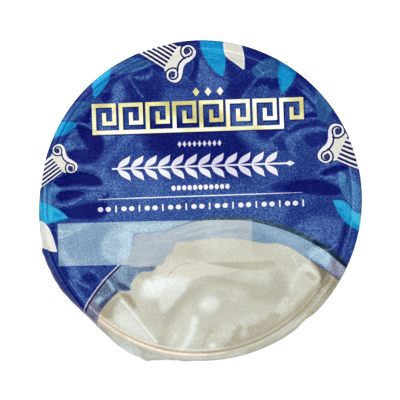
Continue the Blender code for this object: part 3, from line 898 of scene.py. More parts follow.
def inside(outline, x, y):
    """Which of the given places lie inside a closed outline."""
    result = np.zeros(len(x), dtype=bool)
    low, high = outline.min(axis=0), outline.max(axis=0)
    near = np.flatnonzero((x >= low[0]) & (x <= high[0]) & (y >= low[1]) & (y <= high[1]))
    px, py = x[near], y[near]
    hit = np.zeros(len(near), dtype=bool)
    for (ax, ay), (bx, by) in zip(outline, np.roll(outline, -1, axis=0)):
        if ay != by:
            hit ^= ((ay > py) != (by > py)) & (px < (bx - ax) * (py - ay) / (by - ay) + ax)
    result[near] = hit
    return result


def distance_to(line, x, y):
    """Distance from places to the nearest stretch of a line."""
    best = np.full(len(x), np.inf)
    for (ax, ay), (bx, by) in zip(line, line[1:]):
        dx, dy = bx - ax, by - ay
        share = np.clip(((x - ax) * dx + (y - ay) * dy) / max(dx * dx + dy * dy, 1e-12), 0.0, 1.0)
        best = np.minimum(best, np.hypot(x - ax - share * dx, y - ay - share * dy))
    return best


def lattice(border, spacing, border_gap=0.4):
    """Evenly spread places inside a border, none of them right beside it."""
    low, high = border.min(axis=0), border.max(axis=0)
    rows = []
    for row, y in enumerate(np.arange(low[1], high[1], spacing * math.sqrt(3) / 2)):
        x = np.arange(low[0] + (row % 2) * spacing / 2, high[0], spacing)
        rows.append(np.column_stack([x, np.full(len(x), y)]))
    grid = np.vstack(rows)
    shrunk = border * (1.0 - border_gap * spacing / np.abs(border).max(axis=0))
    return grid[inside(shrunk, grid[:, 0], grid[:, 1])]


def divided(outline, step):
    """An outline with points added so that no side is longer than a step."""
    pieces = []
    for start, end in zip(outline, np.roll(outline, -1, axis=0)):
        count = max(1, math.ceil(np.linalg.norm(end - start) / step))
        pieces.append(start + (end - start) * np.linspace(0.0, 1.0, count, endpoint=False)[:, None])
    return np.vstack(pieces)


def cut_sheet(border, prints, grid, films=None, merge_distance=1e-5):
    """A flat sheet of small triangles inside a border, cut along every printed outline.

    Gives its points, its triangles, the ink name of each and the points round the border, in order.
    """
    loops = [border] + [divided(outline, PRINT_STEP) for ink, outline in prints]
    edges = []
    first = 0
    for loop in loops:
        count = len(loop)
        edges += [(first + i, first + (i + 1) % count) for i in range(count)]
        first += count
    places = [Vector(p) for p in np.vstack(loops + [grid])]
    verts, _, faces, *_ = delaunay_2d_cdt(places, edges, [], 0, merge_distance, False)
    verts = np.array([tuple(v) for v in verts])
    faces = np.array(faces)
    centres = verts[faces].mean(axis=1)
    kept = inside(border, centres[:, 0], centres[:, 1])
    faces, centres = faces[kept], centres[kept]
    inks = np.full(len(faces), "navy", dtype=object)
    for ink, outline in prints:
        covered = inside(outline, centres[:, 0], centres[:, 1])
        if films and ink in films:
            inks[covered] = [films[ink].get(below, below) for below in inks[covered]]
        else:
            inks[covered] = ink
    used, faces = np.unique(faces, return_inverse=True)
    faces = faces.reshape(-1, 3)
    verts = verts[used]
    return verts, faces, inks, border_loop(verts, faces, border)


def border_loop(verts, faces, border, tolerance=0.001):
    """The outer points of a sheet that can all be seen from its origin, in turning order."""
    sides = np.sort(np.vstack([faces[:, [0, 1]], faces[:, [1, 2]], faces[:, [2, 0]]]), axis=1)
    unique, count = np.unique(sides, axis=0, return_counts=True)
    outer = np.unique(unique[count == 1])
    outer = outer[distance_to(np.vstack([border, border[:1]]), *verts[outer].T) < tolerance]
    return outer[np.argsort(np.arctan2(verts[outer, 1], verts[outer, 0]))]


def add_to_scene(name, data):
    obj = bpy.data.objects.new(name, data)
    bpy.context.scene.collection.objects.link(obj)
    return obj


def make_object(name, verts, faces, inks_of_faces, inks, attributes=None, weld=0.0):
    """A smooth mesh object from points in millimetres, with one material slot for each ink it shows."""
    mesh = bpy.data.meshes.new(name)
    mesh.from_pydata([tuple(v) for v in verts * MM], [], [tuple(f) for f in faces])
    names = sorted(set(inks_of_faces))
    for ink in names:
        mesh.materials.append(inks[ink])
    slots = np.array([names.index(ink) for ink in inks_of_faces], dtype=np.int32)
    mesh.polygons.foreach_set("material_index", slots)
    for key, values in (attributes or {}).items():
        layer = mesh.attributes.new(key, "FLOAT", "POINT")
        layer.data.foreach_set("value", np.asarray(values, dtype=np.float32))
    if weld:
        bm = bmesh.new()
        bm.from_mesh(mesh)
        bmesh.ops.remove_doubles(bm, verts=bm.verts, dist=weld * MM)
        bm.to_mesh(mesh)
        bm.free()
    mesh.shade_smooth()
    return add_to_scene(name, mesh)


# Relief, and painted light and shade, of the stretched foil

def smooth(value, low, high):
    t = np.clip((value - low) / (high - low), 0.0, 1.0)
    return t * t * (3.0 - 2.0 * t)


def lumps(x, y, size, seed):
    """Soft noise of about one lump per size in millimetres, the same each run."""
    return np.array([noise.noise((a / size, b / size, seed)) for a, b in zip(x, y)])


def fold_shade(px, py):
    """Painted light and shade, as tone, and lift of all the folds at places in photo pixels, each one laid
    over those before it.
    """
    tone = np.zeros(len(px))
    lift = np.zeros(len(px))
    for is_patch, amount, soft, height, outline in PAINTED_FOLD_SHADING:
        line = curve(*outline, closed=is_patch, steps=FOLD_STEPS)
        reach = soft * (PATCH_REACH if is_patch else STROKE_REACH)
        low, high = line.min(axis=0) - reach, line.max(axis=0) + reach
        near = np.flatnonzero((px > low[0]) & (px < high[0]) & (py > low[1]) & (py < high[1]))
        x, y = px[near], py[near]
        if is_patch:
            gap = distance_to(np.vstack([line, line[:1]]), x, y)
            gap = np.where(inside(line, x, y), gap, -gap)
            cover = smooth(gap, -soft, soft)
        else:
            cover = np.exp(-(distance_to(line, x, y) / soft) ** 2)
        tone[near] += (amount - tone[near]) * cover
        lift[near] += height * cover
    return tone, lift


def ring_shade(px, py, tone):
    """The tone with the painted light and shade of the seal's rings laid over it."""
    radius = np.hypot(px - PRESS_X, py - PRESS_Y)
    azimuth = np.degrees(np.arctan2(PRESS_Y - py, px - PRESS_X))
    for amount, soft, *knots in PAINTED_RING_SHADING:
        angles, radii = zip(*knots)
        start, end = angles[0], angles[-1]
        turned = (azimuth - start + RING_LEAD) % 360.0 + start - RING_LEAD
        off = (radius - np.interp(turned, angles, radii)) / soft
        begun = smooth(turned, start - RING_FADE, start + RING_FADE)
        ended = smooth(turned, end - RING_FADE, end + RING_FADE)
        tone = tone + (amount - tone) * np.exp(-off ** 2) * (begun * (1.0 - ended))
    return tone


def foil_relief(x, y):
    """Height of the foil above its flat lie, before it is bent down at the edge, and its tone: painted light
    and shade of the folds, lumps and rings, darker at the bent edge.
    """
    radius = np.hypot(x, y)
    px, py = CENTRE_X + x / MM_PER_PIXEL, CENTRE_Y - y / MM_PER_PIXEL
    seal = np.hypot(x - SEAL_CENTRE[0], y - SEAL_CENTRE[1])
    beads = sum(np.exp(-((seal - bead) / BEAD_HALF_WIDTH) ** 2) for bead in BEAD_RADII)
    free = 1.0 - smooth(radius, *FREE_EDGE)
    tone, lift = fold_shade(px, py)
    broad, middle, fine = (lumps(x, y, size, seed) for size, seed in zip(LUMP_SIZES, LUMP_SEEDS))
    broad_height, middle_height, fine_height = LUMP_HEIGHTS
    relief = BEAD_HEIGHT * beads - MEMBRANE_SAG * free + free * lift
    relief += free * (broad_height * broad + middle_height * middle) + fine_height * fine
    # Painted sheen: the tone is paler where the broad lumps rise
    tone += LUMP_TONE * broad * free
    tone = ring_shade(px, py, tone) - RIM_SHADE * smooth(radius, BEND_START, BEND_START + RIM_SHADE_WIDTH)
    return relief * (1.0 - smooth(radius, *RELIEF_END)), tone


# The blank is cut flat with its tab, then formed over the flange

def tab_shape(azimuth):
    """How far the tab hangs and how far it stands out, at angles round the lid."""
    away = np.abs(azimuth - TAB_AZIMUTH) / TAB_HALF_ANGLE
    reach = TAB_LENGTH * np.sqrt(np.maximum(1.0 - away ** 3, 0.0))
    return reach, np.interp(np.degrees(azimuth), *zip(*TAB_STAND_OFF))


def on_blank(outline):
    """Photo pixels to places on the flat blank."""
    return (outline - (CENTRE_X, CENTRE_Y)) * (MM_PER_PIXEL, -MM_PER_PIXEL)


def round_places(radius, angle):
    return np.column_stack([radius * np.cos(angle), radius * np.sin(angle)])


def blank_edge():
    azimuth = np.linspace(0.0, math.tau, LID_EDGE_POINTS, endpoint=False)
    reach, _ = tab_shape(azimuth)
    return round_places(BEND_START + BEND_LENGTH + SKIRT_DROP + reach, azimuth)


def off_ring_zone(places):
    radius = np.hypot(*places.T)
    return places[(radius < RING_ZONE[0]) | (radius > RING_ZONE[1])]


def lid_grid(border):
    """Even places over the blank, and rings set close together where the seal and the bend run."""
    rings = []
    for row, radius in enumerate(np.arange(*RING_ZONE, RING_STEP)):
        angle = (np.arange(RING_POINTS) + 0.5 * (row % 2)) * math.tau / RING_POINTS
        rings.append(round_places(radius, angle))
    return np.vstack([off_ring_zone(lattice(border, LID_GRID)), sharp_fold_places()] + rings)


def sharp_fold_places():
    """Rows of places along the folds that are narrower than the even grid can show."""
    rows = []
    for is_patch, _, soft, _, outline in PAINTED_FOLD_SHADING:
        if not is_patch and soft <= SHARP_FOLD:
            line = curve(*outline, steps=SHARP_FOLD_STEPS)
            rows += [line + sides_of(line) * soft * offset for offset in SHARP_FOLD_ROWS]
    return off_ring_zone(on_blank(np.vstack(rows)))


def form_foil(x, y, relief):
    """Places on the flat blank to places on the formed lid."""
    flat_radius = np.hypot(x, y)
    azimuth = np.arctan2(y, x) % math.tau
    reach, flare = tab_shape(azimuth)
    bend = np.clip((flat_radius - BEND_START) / BEND_RADIUS, 0.0, math.pi / 2)
    drop = np.maximum(flat_radius - BEND_START - BEND_LENGTH, 0.0)
    share = np.clip(drop / (SKIRT_DROP + reach), 0.0, 1.0)
    radius = np.minimum(flat_radius, BEND_START) + BEND_RADIUS * np.sin(bend)
    drift = CRUMPLE_DRIFT * np.sin(CRUMPLE_DRIFT_WAVES * azimuth)
    crumple = CRUMPLE_DEPTH * share * np.sin(CRUMPLE_WAVES * azimuth + drift)
    radius = radius + flare * (1.0 - (1.0 - share) ** FLARE_POWER) + crumple * (reach > 0.0)
    for place, spread, depth in RIM_DENTS:
        away = ((np.degrees(azimuth) - place + 180.0) % 360.0 - 180.0) / spread
        radius = radius - depth * smooth(flat_radius, *DENT_ZONE) * np.exp(-away ** 2)
    z = LID_TOP + relief - BEND_RADIUS * (1.0 - np.cos(bend)) - drop
    scale = radius / np.maximum(flat_radius, 1e-9)
    return np.column_stack([x * scale, y * scale, z])


def underside(flat):
    """Places below the foil, off it by its thickness along its own normal."""
    x, y = flat.T

    def formed(dx, dy):
        return form_foil(x + dx, y + dy, foil_relief(x + dx, y + dy)[0])

    across = formed(NORMAL_STEP, 0) - formed(-NORMAL_STEP, 0)
    normal = np.cross(across, formed(0, NORMAL_STEP) - formed(0, -NORMAL_STEP))
    normal /= np.linalg.norm(normal, axis=1)[:, None]
    depth = np.where(np.hypot(x, y) < BACKING_RADIUS, BACKING_DEPTH, FOIL_THICKNESS)
    return formed(0, 0) - normal * depth[:, None]


def make_lid(inks):
    prints = [(ink, on_blank(outline)) for ink, outline in lid_prints()]
    border = blank_edge()
    flat, faces, ink_of_face, rim = cut_sheet(border, prints, lid_grid(border), FILMS)
    relief, tone = foil_relief(*flat.T)
    top = form_foil(*flat.T, relief)
    under, under_faces, _, under_rim = cut_sheet(flat[rim], [], lattice(flat[rim], UNDERSIDE_GRID))
    offset = len(top)
    verts = np.vstack([top, underside(under)])
    a, b = rim, np.roll(rim, -1)
    c, d = under_rim + offset, np.roll(under_rim, -1) + offset
    sides = np.vstack([np.column_stack([a, c, b]), np.column_stack([b, c, d])])
    all_faces = np.vstack([faces, under_faces[:, ::-1] + offset, sides])
    ink_names = list(ink_of_face) + ["bare_foil"] * (len(under_faces) + len(sides))
    tones = np.concatenate([tone, np.zeros(len(under))])
    # The tone attribute carries the painted light and shade to the inks' colour ramps
    lid = make_object("foil_lid_skin", verts, all_faces, ink_names, inks, {"tone": tones})
    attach(lid, "root")
    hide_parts("foil_lid")


# The pot: a turned shell whose tapered wall is a printed sheet
WALL_LOW = np.array([WALL_BOTTOM_RADIUS, FOOT_ROUND])
WALL_HIGH = np.array([WALL_TOP_RADIUS, SHOULDER_BOTTOM])
WALL_LENGTH = np.linalg.norm(WALL_HIGH - WALL_LOW)
WALL_MEAN_RADIUS = (WALL_BOTTOM_RADIUS + WALL_TOP_RADIUS) / 2
WALL_HALF_WIDTH = math.pi * WALL_MEAN_RADIUS
WALL_SEAM = math.pi * 1.5

# The plain bands above and below the wall's print run past the sheet
BAND_REACH = 130
BAND_END = 40

# Leaves round the top of the wall: least and most of their width, length, lean and gap, in millimetres
WALL_LEAF_INKS = ("sky_leaf", "ghost_leaf", "chalk_leaf", "ghost_leaf", "sky_leaf", "ghost_leaf")
WALL_LEAF_SIZES = ((5.5, 8.5), (6.5, 11.0), (-3.5, 3.5))
WALL_LEAF_GAP = (0.2, 4.5)
WALL_LEAVES_START = 3.0
WALL_LEAVES_END = 12.0
WALL_LEAF_SEED = 11

# Points on either side of such a leaf, as shares of its width, lean and length
WALL_LEAF_LEFT = ((0.0, 0.3, 0.35), (0.16, 0.7, 0.72))
WALL_LEAF_RIGHT = ((0.9, 0.7, 0.68), (1.0, 0.3, 0.3))

# Capitals round the foot of the wall: their number, and their places as shares of half its width
WALL_CAPITALS = 5
FIRST_CAPITAL = -0.8
CAPITAL_STEP = 0.4
WALL_CAPITAL_SCALE = 0.3
WALL_CAPITAL_HEIGHT = 8.0


def wall_leaf(u, top, width, length, lean):
    """A leaf that hangs from the top of the wall."""
    def side(shares):
        return [(u + out * width + over * lean, top - down * length) for out, over, down in shares]

    tip = (u + width / 2 + lean, top - length)
    left = curve((u, top), *side(WALL_LEAF_LEFT), tip)
    right = curve(tip, *side(WALL_LEAF_RIGHT), (u + width, top))
    return np.vstack([left, right[1:]])


def wall_band(low, high):
    return points((-BAND_REACH, low), (BAND_REACH, low), (BAND_REACH, high), (-BAND_REACH, high))


def wall_prints():
    """The lid's border carried on: leaves that hang from the top of the wall, and capitals at its foot."""
    top = WALL_LENGTH / 2 - WALL_MARGIN
    yield "plastic", wall_band(top, BAND_END)
    rng = random.Random(WALL_LEAF_SEED)
    u = -WALL_HALF_WIDTH + WALL_LEAVES_START
    count = 0
    while u < WALL_HALF_WIDTH - WALL_LEAVES_END:
        width, length, lean = (rng.uniform(*limits) for limits in WALL_LEAF_SIZES)
        yield WALL_LEAF_INKS[count % len(WALL_LEAF_INKS)], wall_leaf(u, top, width, length, lean)
        u += width + rng.uniform(*WALL_LEAF_GAP)
        count += 1
    foot = -top
    for column in range(WALL_CAPITALS):
        u = WALL_HALF_WIDTH * FIRST_CAPITAL + column * WALL_HALF_WIDTH * CAPITAL_STEP
        place = frame_at((u, foot + WALL_CAPITAL_HEIGHT), math.pi, WALL_CAPITAL_SCALE)
        yield from capital_prints(place, lambda spot, x: FAR)
    yield "plastic", wall_band(-BAND_END, foot)


def wall_place(flat):
    """Places on the flat wall print to places round the tapered wall."""
    azimuth = flat[:, 0] / WALL_MEAN_RADIUS + WALL_SEAM
    share = flat[:, 1:] / WALL_LENGTH + 0.5
    radius, z = (WALL_LOW + (WALL_HIGH - WALL_LOW) * share).T
    return np.column_stack([radius * np.cos(azimuth), radius * np.sin(azimuth), z])


def turned(profile, azimuths):
    """Points and quads of an outline in (r, z) turned through given angles, closed flat at its far end."""
    rings = np.array([(r * math.cos(a), r * math.sin(a), z) for r, z in profile for a in azimuths])
    count = len(azimuths)
    faces = []
    for ring in range(len(profile) - 1):
        for i in range(count):
            j = (i + 1) % count
            faces.append((ring * count + i, ring * count + j, (ring + 1) * count + j, (ring + 1) * count + i))
    last = (len(profile) - 1) * count
    faces.append(tuple(range(last, last + count)))
    return rings, faces


def arc_profile(centre, radius, start, end, steps=ARC_STEPS):
    angle = np.radians(np.linspace(start, end, steps + 1))
    return list(zip(centre[0] + radius * np.cos(angle), centre[1] + radius * np.sin(angle)))


def upper_profile():
    """From the top of the wall over the shoulder, collar and flange, and down to the filling."""
    collar_foot = COLLAR_RADIUS - COLLAR_DRAFT
    edge = FLANGE_RADIUS - FLANGE_ROUND
    mouth = MOUTH_RADIUS - MOUTH_ROUND
    return (
        [
            tuple(WALL_HIGH),
            (WALL_TOP_RADIUS + SHOULDER_EASE[0], SHOULDER_BOTTOM + SHOULDER_EASE[1]),
            (collar_foot - COLLAR_FOOT_EASE[0], COLLAR_BOTTOM - COLLAR_FOOT_EASE[1]),
            (collar_foot, COLLAR_BOTTOM + COLLAR_FOOT_EASE[1]),
        ]
        + [(COLLAR_RADIUS + out, FLANGE_BOTTOM - below) for out, below in COLLAR_TOP_EASE]
        + arc_profile((edge, FLANGE_BOTTOM + FLANGE_ROUND), FLANGE_ROUND, -90, 0)
        + arc_profile((edge, FLANGE_TOP - FLANGE_ROUND), FLANGE_ROUND, 0, 90)
        + [(MOUTH_RADIUS, FLANGE_TOP), (mouth, FLANGE_TOP - MOUTH_ROUND), (mouth, FLANGE_TOP - FILL_DEPTH)]
    )


def lower_profile():
    """From the foot of the wall under the foot ring, and in to the middle of the recessed base."""
    foot_outer = WALL_BOTTOM_RADIUS - FOOT_ROUND
    foot_inner = foot_outer - FOOT_RING_WIDTH
    recess = foot_inner - BASE_RECESS_SLOPE
    middle_height = BASE_RECESS_DEPTH + BASE_STEP_HEIGHT
    return (
        arc_profile((foot_outer, FOOT_ROUND), FOOT_ROUND, 0, -90, FOOT_ARC_STEPS)
        + [
            (foot_inner + FOOT_RING_EASE[0], 0.0),
            (foot_inner, FOOT_RING_EASE[1]),
            (recess + BASE_EASE[0], BASE_RECESS_DEPTH - BASE_EASE[1]),
            (recess, BASE_RECESS_DEPTH),
            (foot_inner - BASE_STEP[0], BASE_RECESS_DEPTH),
            (foot_inner - BASE_STEP[1], middle_height),
            (BASE_CENTRE_RADIUS, middle_height),
        ]
    )


def wall_border(half):
    """The wall sheet's edge, from its lower left corner round to the left side."""
    across = np.linspace(-WALL_HALF_WIDTH, WALL_HALF_WIDTH, POT_EDGE_POINTS + 1)
    up = np.linspace(-half, half, WALL_ROWS)[1:-1]
    return np.vstack([
        np.column_stack([across, np.full(len(across), -half)]),
        np.column_stack([np.full(len(up), WALL_HALF_WIDTH), up]),
        np.column_stack([across[::-1], np.full(len(across), half)]),
        np.column_stack([np.full(len(up), -WALL_HALF_WIDTH), up[::-1]]),
    ])


def make_pot(inks):
    half = WALL_LENGTH / 2
    border = wall_border(half)
    flat, faces, ink_of_face, loop = cut_sheet(border, list(wall_prints()), lattice(border, WALL_GRID))
    verts = [wall_place(flat)]
    all_faces = [tuple(face) for face in faces]
    ink_names = list(ink_of_face)
    for profile, edge, flip in ((upper_profile(), half, False), (lower_profile(), -half, True)):
        on_edge = loop[np.abs(flat[loop, 1] - edge) < EDGE_TOLERANCE]
        across = np.unique(np.round(flat[on_edge, 0], EDGE_DECIMALS))[:-1]
        angles = across / WALL_MEAN_RADIUS + WALL_SEAM
        ring_verts, ring_faces = turned(profile, angles)
        start = sum(len(part) for part in verts)
        verts.append(ring_verts)
        for face in ring_faces:
            face = tuple(index + start for index in face)
            all_faces.append(face[::-1] if flip else face)
            ink_names.append("plastic")
    pot = make_object("pot_shell", np.vstack(verts), all_faces, ink_names, inks, weld=WELD_DISTANCE)
    pot.data.set_sharp_from_angle(angle=SHARP_ANGLE)
    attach(pot, "root")
    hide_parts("pot")


# Materials

def linear(r, g, b):
    """A colour given as 0 to 255 display values, as linear light."""
    channels = []
    for value in (r, g, b):
        c = value / 255
        channels.append(c / 12.92 if c <= 0.04045 else ((c + 0.055) / 1.055) ** 2.4)
    return (*channels, 1.0)


class Nodes:
    """Short calls for building one material's node tree."""

    def __init__(self, name):
        self.material = bpy.data.materials.new(name)
        self.material.use_nodes = True
        self.tree = self.material.node_tree
        self.shader = self.tree.nodes["Principled BSDF"]
        self.place = self.add("ShaderNodeTexCoord").outputs["Object"]

    def add(self, kind, values=None, **settings):
        """A node of a kind, with the values of its sockets and its own settings."""
        node = self.tree.nodes.new(kind)
        for socket, value in (values or {}).items():
            node.inputs[socket].default_value = value
        for key, value in settings.items():
            setattr(node, key, value)
        return node

    def link(self, source, target):
        self.tree.links.new(source, target)

    def drive(self, socket, source):
        """Let a texture drive one socket of the shader."""
        self.link(source, self.shader.inputs[socket])

    def set(self, values):
        """Numbers and colours that are the same all over the surface."""
        for socket, value in values.items():
            self.shader.inputs[socket].default_value = value

    def noise(self, scale, detail=3.0, rough=0.5):
        node = self.add("ShaderNodeTexNoise", {"Scale": scale, "Detail": detail, "Roughness": rough})
        self.link(self.place, node.inputs["Vector"])
        return node.outputs["Fac"]

    def ramp(self, source, low, high, to_low, to_high):
        ends = {"From Min": low, "From Max": high, "To Min": to_low, "To Max": to_high}
        node = self.add("ShaderNodeMapRange", ends)
        self.link(source, node.inputs["Value"])
        return node.outputs["Result"]

    def sum(self, *sources):
        total = sources[0]
        for source in sources[1:]:
            node = self.add("ShaderNodeMath", operation="ADD")
            self.link(total, node.inputs[0])
            self.link(source, node.inputs[1])
            total = node.outputs[0]
        return total

    def colours(self, source, *stops):
        """A colour ramp with its stops spread evenly."""
        node = self.add("ShaderNodeValToRGB")
        elements = node.color_ramp.elements
        for i, colour in enumerate(stops):
            place = i / (len(stops) - 1)
            element = elements[i] if i < 2 else elements.new(place)
            element.position = place
            element.color = colour
        self.link(source, node.inputs["Fac"])
        return node.outputs["Color"]

    def bump(self, source, distance, strength):
        node = self.add("ShaderNodeBump", {"Strength": strength, "Distance": distance})
        self.link(source, node.inputs["Height"])
        self.drive("Normal", node.outputs["Normal"])


# Stretches of a noise's values that a ramp spreads out
NOISE_MIDDLE = (0.3, 0.7)
NOISE_SPAN = (0.2, 0.8)

# Noise scales in lumps per metre, and the gloss of each kind of surface. A bump is its noise's scale, its
# height in metres and its strength.
CLOUD_SCALE = 150.0
GRAIN_SCALE = 2300.0
LACQUER_SCALE = 900.0
LACQUER_BUMP = (2600.0, 0.00003, 0.35)
LACQUER_SPECULAR = 0.05
INK_ROUGHNESS = (0.30, 0.44)
INK_METALLIC = 0.08
GOLD_SWEEP_SCALE = 95.0
GOLD_SWEEP = (0.36, 0.64)
GOLD_GRAIN_SCALE = 1600.0
GOLD_GRAIN = 0.12
GOLD_METALLIC = 0.15
GOLD_ROUGHNESS = 0.36
PLASTIC_CLOUD_SCALE = 60.0
PLASTIC_GLOSS_SCALE = 500.0
PLASTIC_BUMP = (1500.0, 0.00002, 0.3)
PLASTIC_ROUGHNESS_SPREAD = 0.05
PLASTIC_DEPTH = {"Subsurface Weight": 0.08, "Subsurface Scale": 0.002}

# Inks on the foil: strength of the grain and of the clouds, and tones from deep to pale: the deep end is
# painted shade, the pale end painted highlight
FOIL_INKS = {
    "navy": (0.36, 0.06, (0, 4, 92), (17, 33, 115), (35, 60, 133), (63, 96, 160), (106, 141, 197)),
    "ghost_leaf": (0.36, 0.06, (16, 42, 110), (47, 97, 154), (104, 160, 210)),
    "sky_leaf": (0.28, 0.06, (4, 92, 156), (8, 142, 197), (64, 186, 222)),
    "chalk_leaf": (0.2, 0.06, (196, 194, 184), (221, 222, 213), (240, 242, 240)),
    "leaf_edge": (0.1, 0.06, (205, 208, 212), (232, 234, 234), (248, 250, 252)),
    "white": (0.2, 0.06, (204, 202, 222), (230, 230, 240), (250, 250, 255)),
    "neck": (0.28, 0.06, (200, 199, 184), (220, 221, 208), (235, 236, 228)),
    "outline": (0.28, 0.06, (4, 6, 42), (14, 18, 66), (60, 70, 130)),
    "eye": (0.28, 0.06, (16, 20, 80), (36, 44, 104), (90, 110, 160)),
    "bowl": (0.22, 0.06, (46, 58, 96), (94, 112, 144), (132, 159, 183), (156, 186, 206), (190, 220, 232)),
    "bowl_seal": (0.3, 0.06, (82, 82, 112), (140, 144, 166), (204, 208, 226)),
    "bowl_shadow": (0.36, 0.06, (14, 20, 50), (42, 52, 88), (104, 118, 152)),
    "bowl_rim": (0.28, 0.06, (140, 146, 180), (196, 198, 214), (222, 224, 236)),
    "bowl_line": (0.36, 0.06, (4, 14, 44), (38, 64, 90), (100, 130, 150)),
    "yogurt": (0.15, 0.03, (151, 142, 113), (199, 199, 185), (240, 247, 245)),
    "yogurt_corner": (
        0.12, 0.03, (114, 106, 88), (175, 170, 149), (199, 199, 185), (220, 223, 215), (240, 247, 245),
    ),
    "yogurt_warm": (0.14, 0.03, (158, 148, 122), (214, 210, 198), (237, 240, 236)),
    "yogurt_seal": (0.2, 0.03, (148, 131, 106), (206, 196, 178), (250, 240, 221)),
    "date_field": (0.3, 0.06, (98, 122, 160), (130, 158, 186), (190, 214, 226)),
    "date_field_bowl": (0.22, 0.06, (142, 152, 168), (172, 182, 190), (206, 217, 222)),
    "date_field_line": (0.36, 0.06, (60, 80, 105), (110, 128, 150), (160, 175, 190)),
    "date_field_yogurt": (0.18, 0.03, (174, 168, 146), (202, 202, 187), (230, 232, 226)),
    "key_shadow": (0.28, 0.06, (2, 6, 62), (12, 22, 92), (60, 80, 140)),
    "rule": (0.36, 0.06, (150, 160, 205), (215, 222, 244), (240, 244, 255)),
}
GOLD_TONES = ((200, 194, 126), (226, 222, 160), (240, 242, 214), (250, 252, 244))
BARE_FOIL = (0.1, 0.06, (180, 182, 186), (205, 207, 210), (225, 226, 228))
BARE_FOIL_METALLIC = 0.95

# Colours moulded or printed on the pot, and the deeper shade that each one clouds to
WALL_INKS = {
    "navy": ((26, 46, 130), (16, 30, 112)),
    "ghost_leaf": ((52, 100, 155), (44, 88, 145)),
    "sky_leaf": ((14, 152, 208), (10, 140, 200)),
    "chalk_leaf": ((224, 223, 214), (216, 215, 204)),
    "white": ((236, 234, 244), (228, 226, 238)),
    "neck": ((223, 222, 208), (216, 214, 198)),
    "outline": ((14, 18, 66), (10, 12, 54)),
    "eye": ((40, 48, 110), (32, 38, 98)),
}
WALL_INK_ROUGHNESS = 0.32
WHITE_PLASTIC = ((238, 238, 236), (230, 230, 228))
WHITE_PLASTIC_ROUGHNESS = 0.38


def lacquer(n, metallic):
    """What all inks on the foil share: a satin lacquer with a faint, fine relief."""
    scale, distance, strength = LACQUER_BUMP
    n.set({"Metallic": metallic, "Specular IOR Level": LACQUER_SPECULAR})
    n.bump(n.noise(scale, 2.0), distance, strength)


def foil_ink(name, grain, cloud, *tones, metallic=INK_METALLIC):
    """Ink on foil: tones of one colour from deep to pale, mixed by the folds' tone of painted light and
    shade, by clouds and by fine grain.
    """
    n = Nodes(name)
    tone = n.ramp(n.add("ShaderNodeAttribute", attribute_name="tone").outputs["Fac"], -1.0, 1.0, 0.0, 1.0)
    clouds = n.ramp(n.noise(CLOUD_SCALE, 2.0), *NOISE_MIDDLE, -cloud, cloud)
    speck = n.ramp(n.noise(GRAIN_SCALE, 2.0, 0.8), *NOISE_MIDDLE, -grain, grain)
    n.drive("Base Color", n.colours(n.sum(tone, clouds, speck), *(linear(*colour) for colour in tones)))
    n.drive("Roughness", n.ramp(n.noise(LACQUER_SCALE), *NOISE_SPAN, *INK_ROUGHNESS))
    lacquer(n, metallic)
    return n.material


def gold_ink():
    """Pale gold that runs from near white to deeper gold in soft clouds a few millimetres wide."""
    n = Nodes("ink_gold")
    sweep = n.ramp(n.noise(GOLD_SWEEP_SCALE, 1.5), *GOLD_SWEEP, 0.0, 1.0)
    speck = n.ramp(n.noise(GOLD_GRAIN_SCALE, 3.0, 0.8), *NOISE_MIDDLE, -GOLD_GRAIN, GOLD_GRAIN)
    n.drive("Base Color", n.colours(n.sum(sweep, speck), *(linear(*colour) for colour in GOLD_TONES)))
    n.set({"Roughness": GOLD_ROUGHNESS})
    lacquer(n, GOLD_METALLIC)
    return n.material


def moulded_plastic(name, colour, shade, roughness):
    """Moulded plastic: faint clouds in the colour, and a fine orange-peel surface."""
    n = Nodes(name)
    clouds = n.ramp(n.noise(PLASTIC_CLOUD_SCALE), *NOISE_MIDDLE, 0.0, 1.0)
    gloss = (roughness - PLASTIC_ROUGHNESS_SPREAD, roughness + PLASTIC_ROUGHNESS_SPREAD)
    scale, distance, strength = PLASTIC_BUMP
    n.drive("Base Color", n.colours(clouds, linear(*shade), linear(*colour)))
    n.drive("Roughness", n.ramp(n.noise(PLASTIC_GLOSS_SCALE, 2.0), *NOISE_SPAN, *gloss))
    n.set(PLASTIC_DEPTH)
    n.bump(n.noise(scale, 2.0), distance, strength)
    return n.material


def make_foil_inks():
    inks = {key: foil_ink("ink_" + key, *look) for key, look in FOIL_INKS.items()}
    inks["gold"] = gold_ink()
    inks["bare_foil"] = foil_ink("bare_foil", *BARE_FOIL, metallic=BARE_FOIL_METALLIC)
    return inks


def make_wall_inks():
    inks = {key: moulded_plastic("wall_" + key, *look, WALL_INK_ROUGHNESS) for key, look in WALL_INKS.items()}
    inks["plastic"] = moulded_plastic("white_plastic", *WHITE_PLASTIC, WHITE_PLASTIC_ROUGHNESS)
    return inks


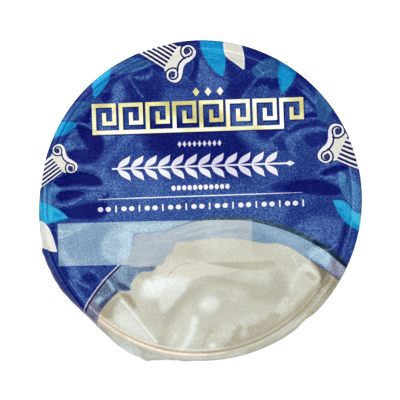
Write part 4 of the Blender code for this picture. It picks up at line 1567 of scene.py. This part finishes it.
# Stage, in metres, with the camera's sensor in millimetres
FLOOR_HALF_SIZE = 1.2
FLOOR_GREYS = ((0.90, 0.90, 0.90, 1.0), (0.93, 0.93, 0.93, 1.0))
FLOOR_CLOUD_SCALE = 6.0
WHITE = (1.0, 1.0, 1.0, 1.0)
FLOOR_GLOSS = {"Roughness": 0.9, "Specular IOR Level": 0.1}
FLOOR_GLOW = {"Emission Color": WHITE, "Emission Strength": 0.6}
WORLD_LIGHT = {"Color": WHITE, "Strength": 0.30}
LIGHT_AIM = (0.0, 0.0, 0.04)

# Area lights: name, place, width and power in watts
LIGHTS = (("key", (-0.17, 0.26, 0.64), 0.36, 3.3), ("fill", (0.42, -0.28, 0.60), 0.45, 1.3))
CAMERA_DISTANCE = 1.5
SENSOR_WIDTH = 36.0


def make_floor():
    size = FLOOR_HALF_SIZE
    corners = [(-size, -size, 0), (size, -size, 0), (size, size, 0), (-size, size, 0)]
    mesh = bpy.data.meshes.new("floor")
    mesh.from_pydata(corners, [], [(0, 1, 2, 3)])
    floor = add_to_scene("floor", mesh)
    n = Nodes("floor_paint")
    n.drive("Base Color", n.colours(n.noise(FLOOR_CLOUD_SCALE), *FLOOR_GREYS))
    n.set(FLOOR_GLOSS | FLOOR_GLOW)
    mesh.materials.append(n.material)


def make_lights():
    world = bpy.data.worlds.new("studio")
    world.use_nodes = True
    for socket, value in WORLD_LIGHT.items():
        world.node_tree.nodes["Background"].inputs[socket].default_value = value
    bpy.context.scene.world = world
    for name, place, size, power in LIGHTS:
        light = bpy.data.lights.new(name, "AREA")
        light.shape = "DISK"
        light.size = size
        light.energy = power
        obj = add_to_scene(name, light)
        obj.location = place
        obj.rotation_euler = (Vector(LIGHT_AIM) - Vector(place)).to_track_quat("-Z", "Y").to_euler()


def make_camera():
    """A camera straight above, placed so that the lid's centre falls on its pixel of the photo."""
    data = bpy.data.cameras.new("camera")
    data.sensor_width = SENSOR_WIDTH
    data.lens = data.sensor_width * CAMERA_DISTANCE / (PHOTO_SIZE * MM_PER_PIXEL * MM)
    camera = add_to_scene("camera", data)
    offset_x = (PHOTO_SIZE / 2 - CENTRE_X) * MM_PER_PIXEL * MM
    offset_y = (CENTRE_Y - PHOTO_SIZE / 2) * MM_PER_PIXEL * MM
    camera.location = (offset_x, offset_y, LID_TOP * MM + CAMERA_DISTANCE)
    bpy.context.scene.camera = camera


make_camera()
make_lid(make_foil_inks())
make_pot(make_wall_inks())
make_floor()
make_lights()
bpy.context.scene.view_settings.view_transform = "Standard"
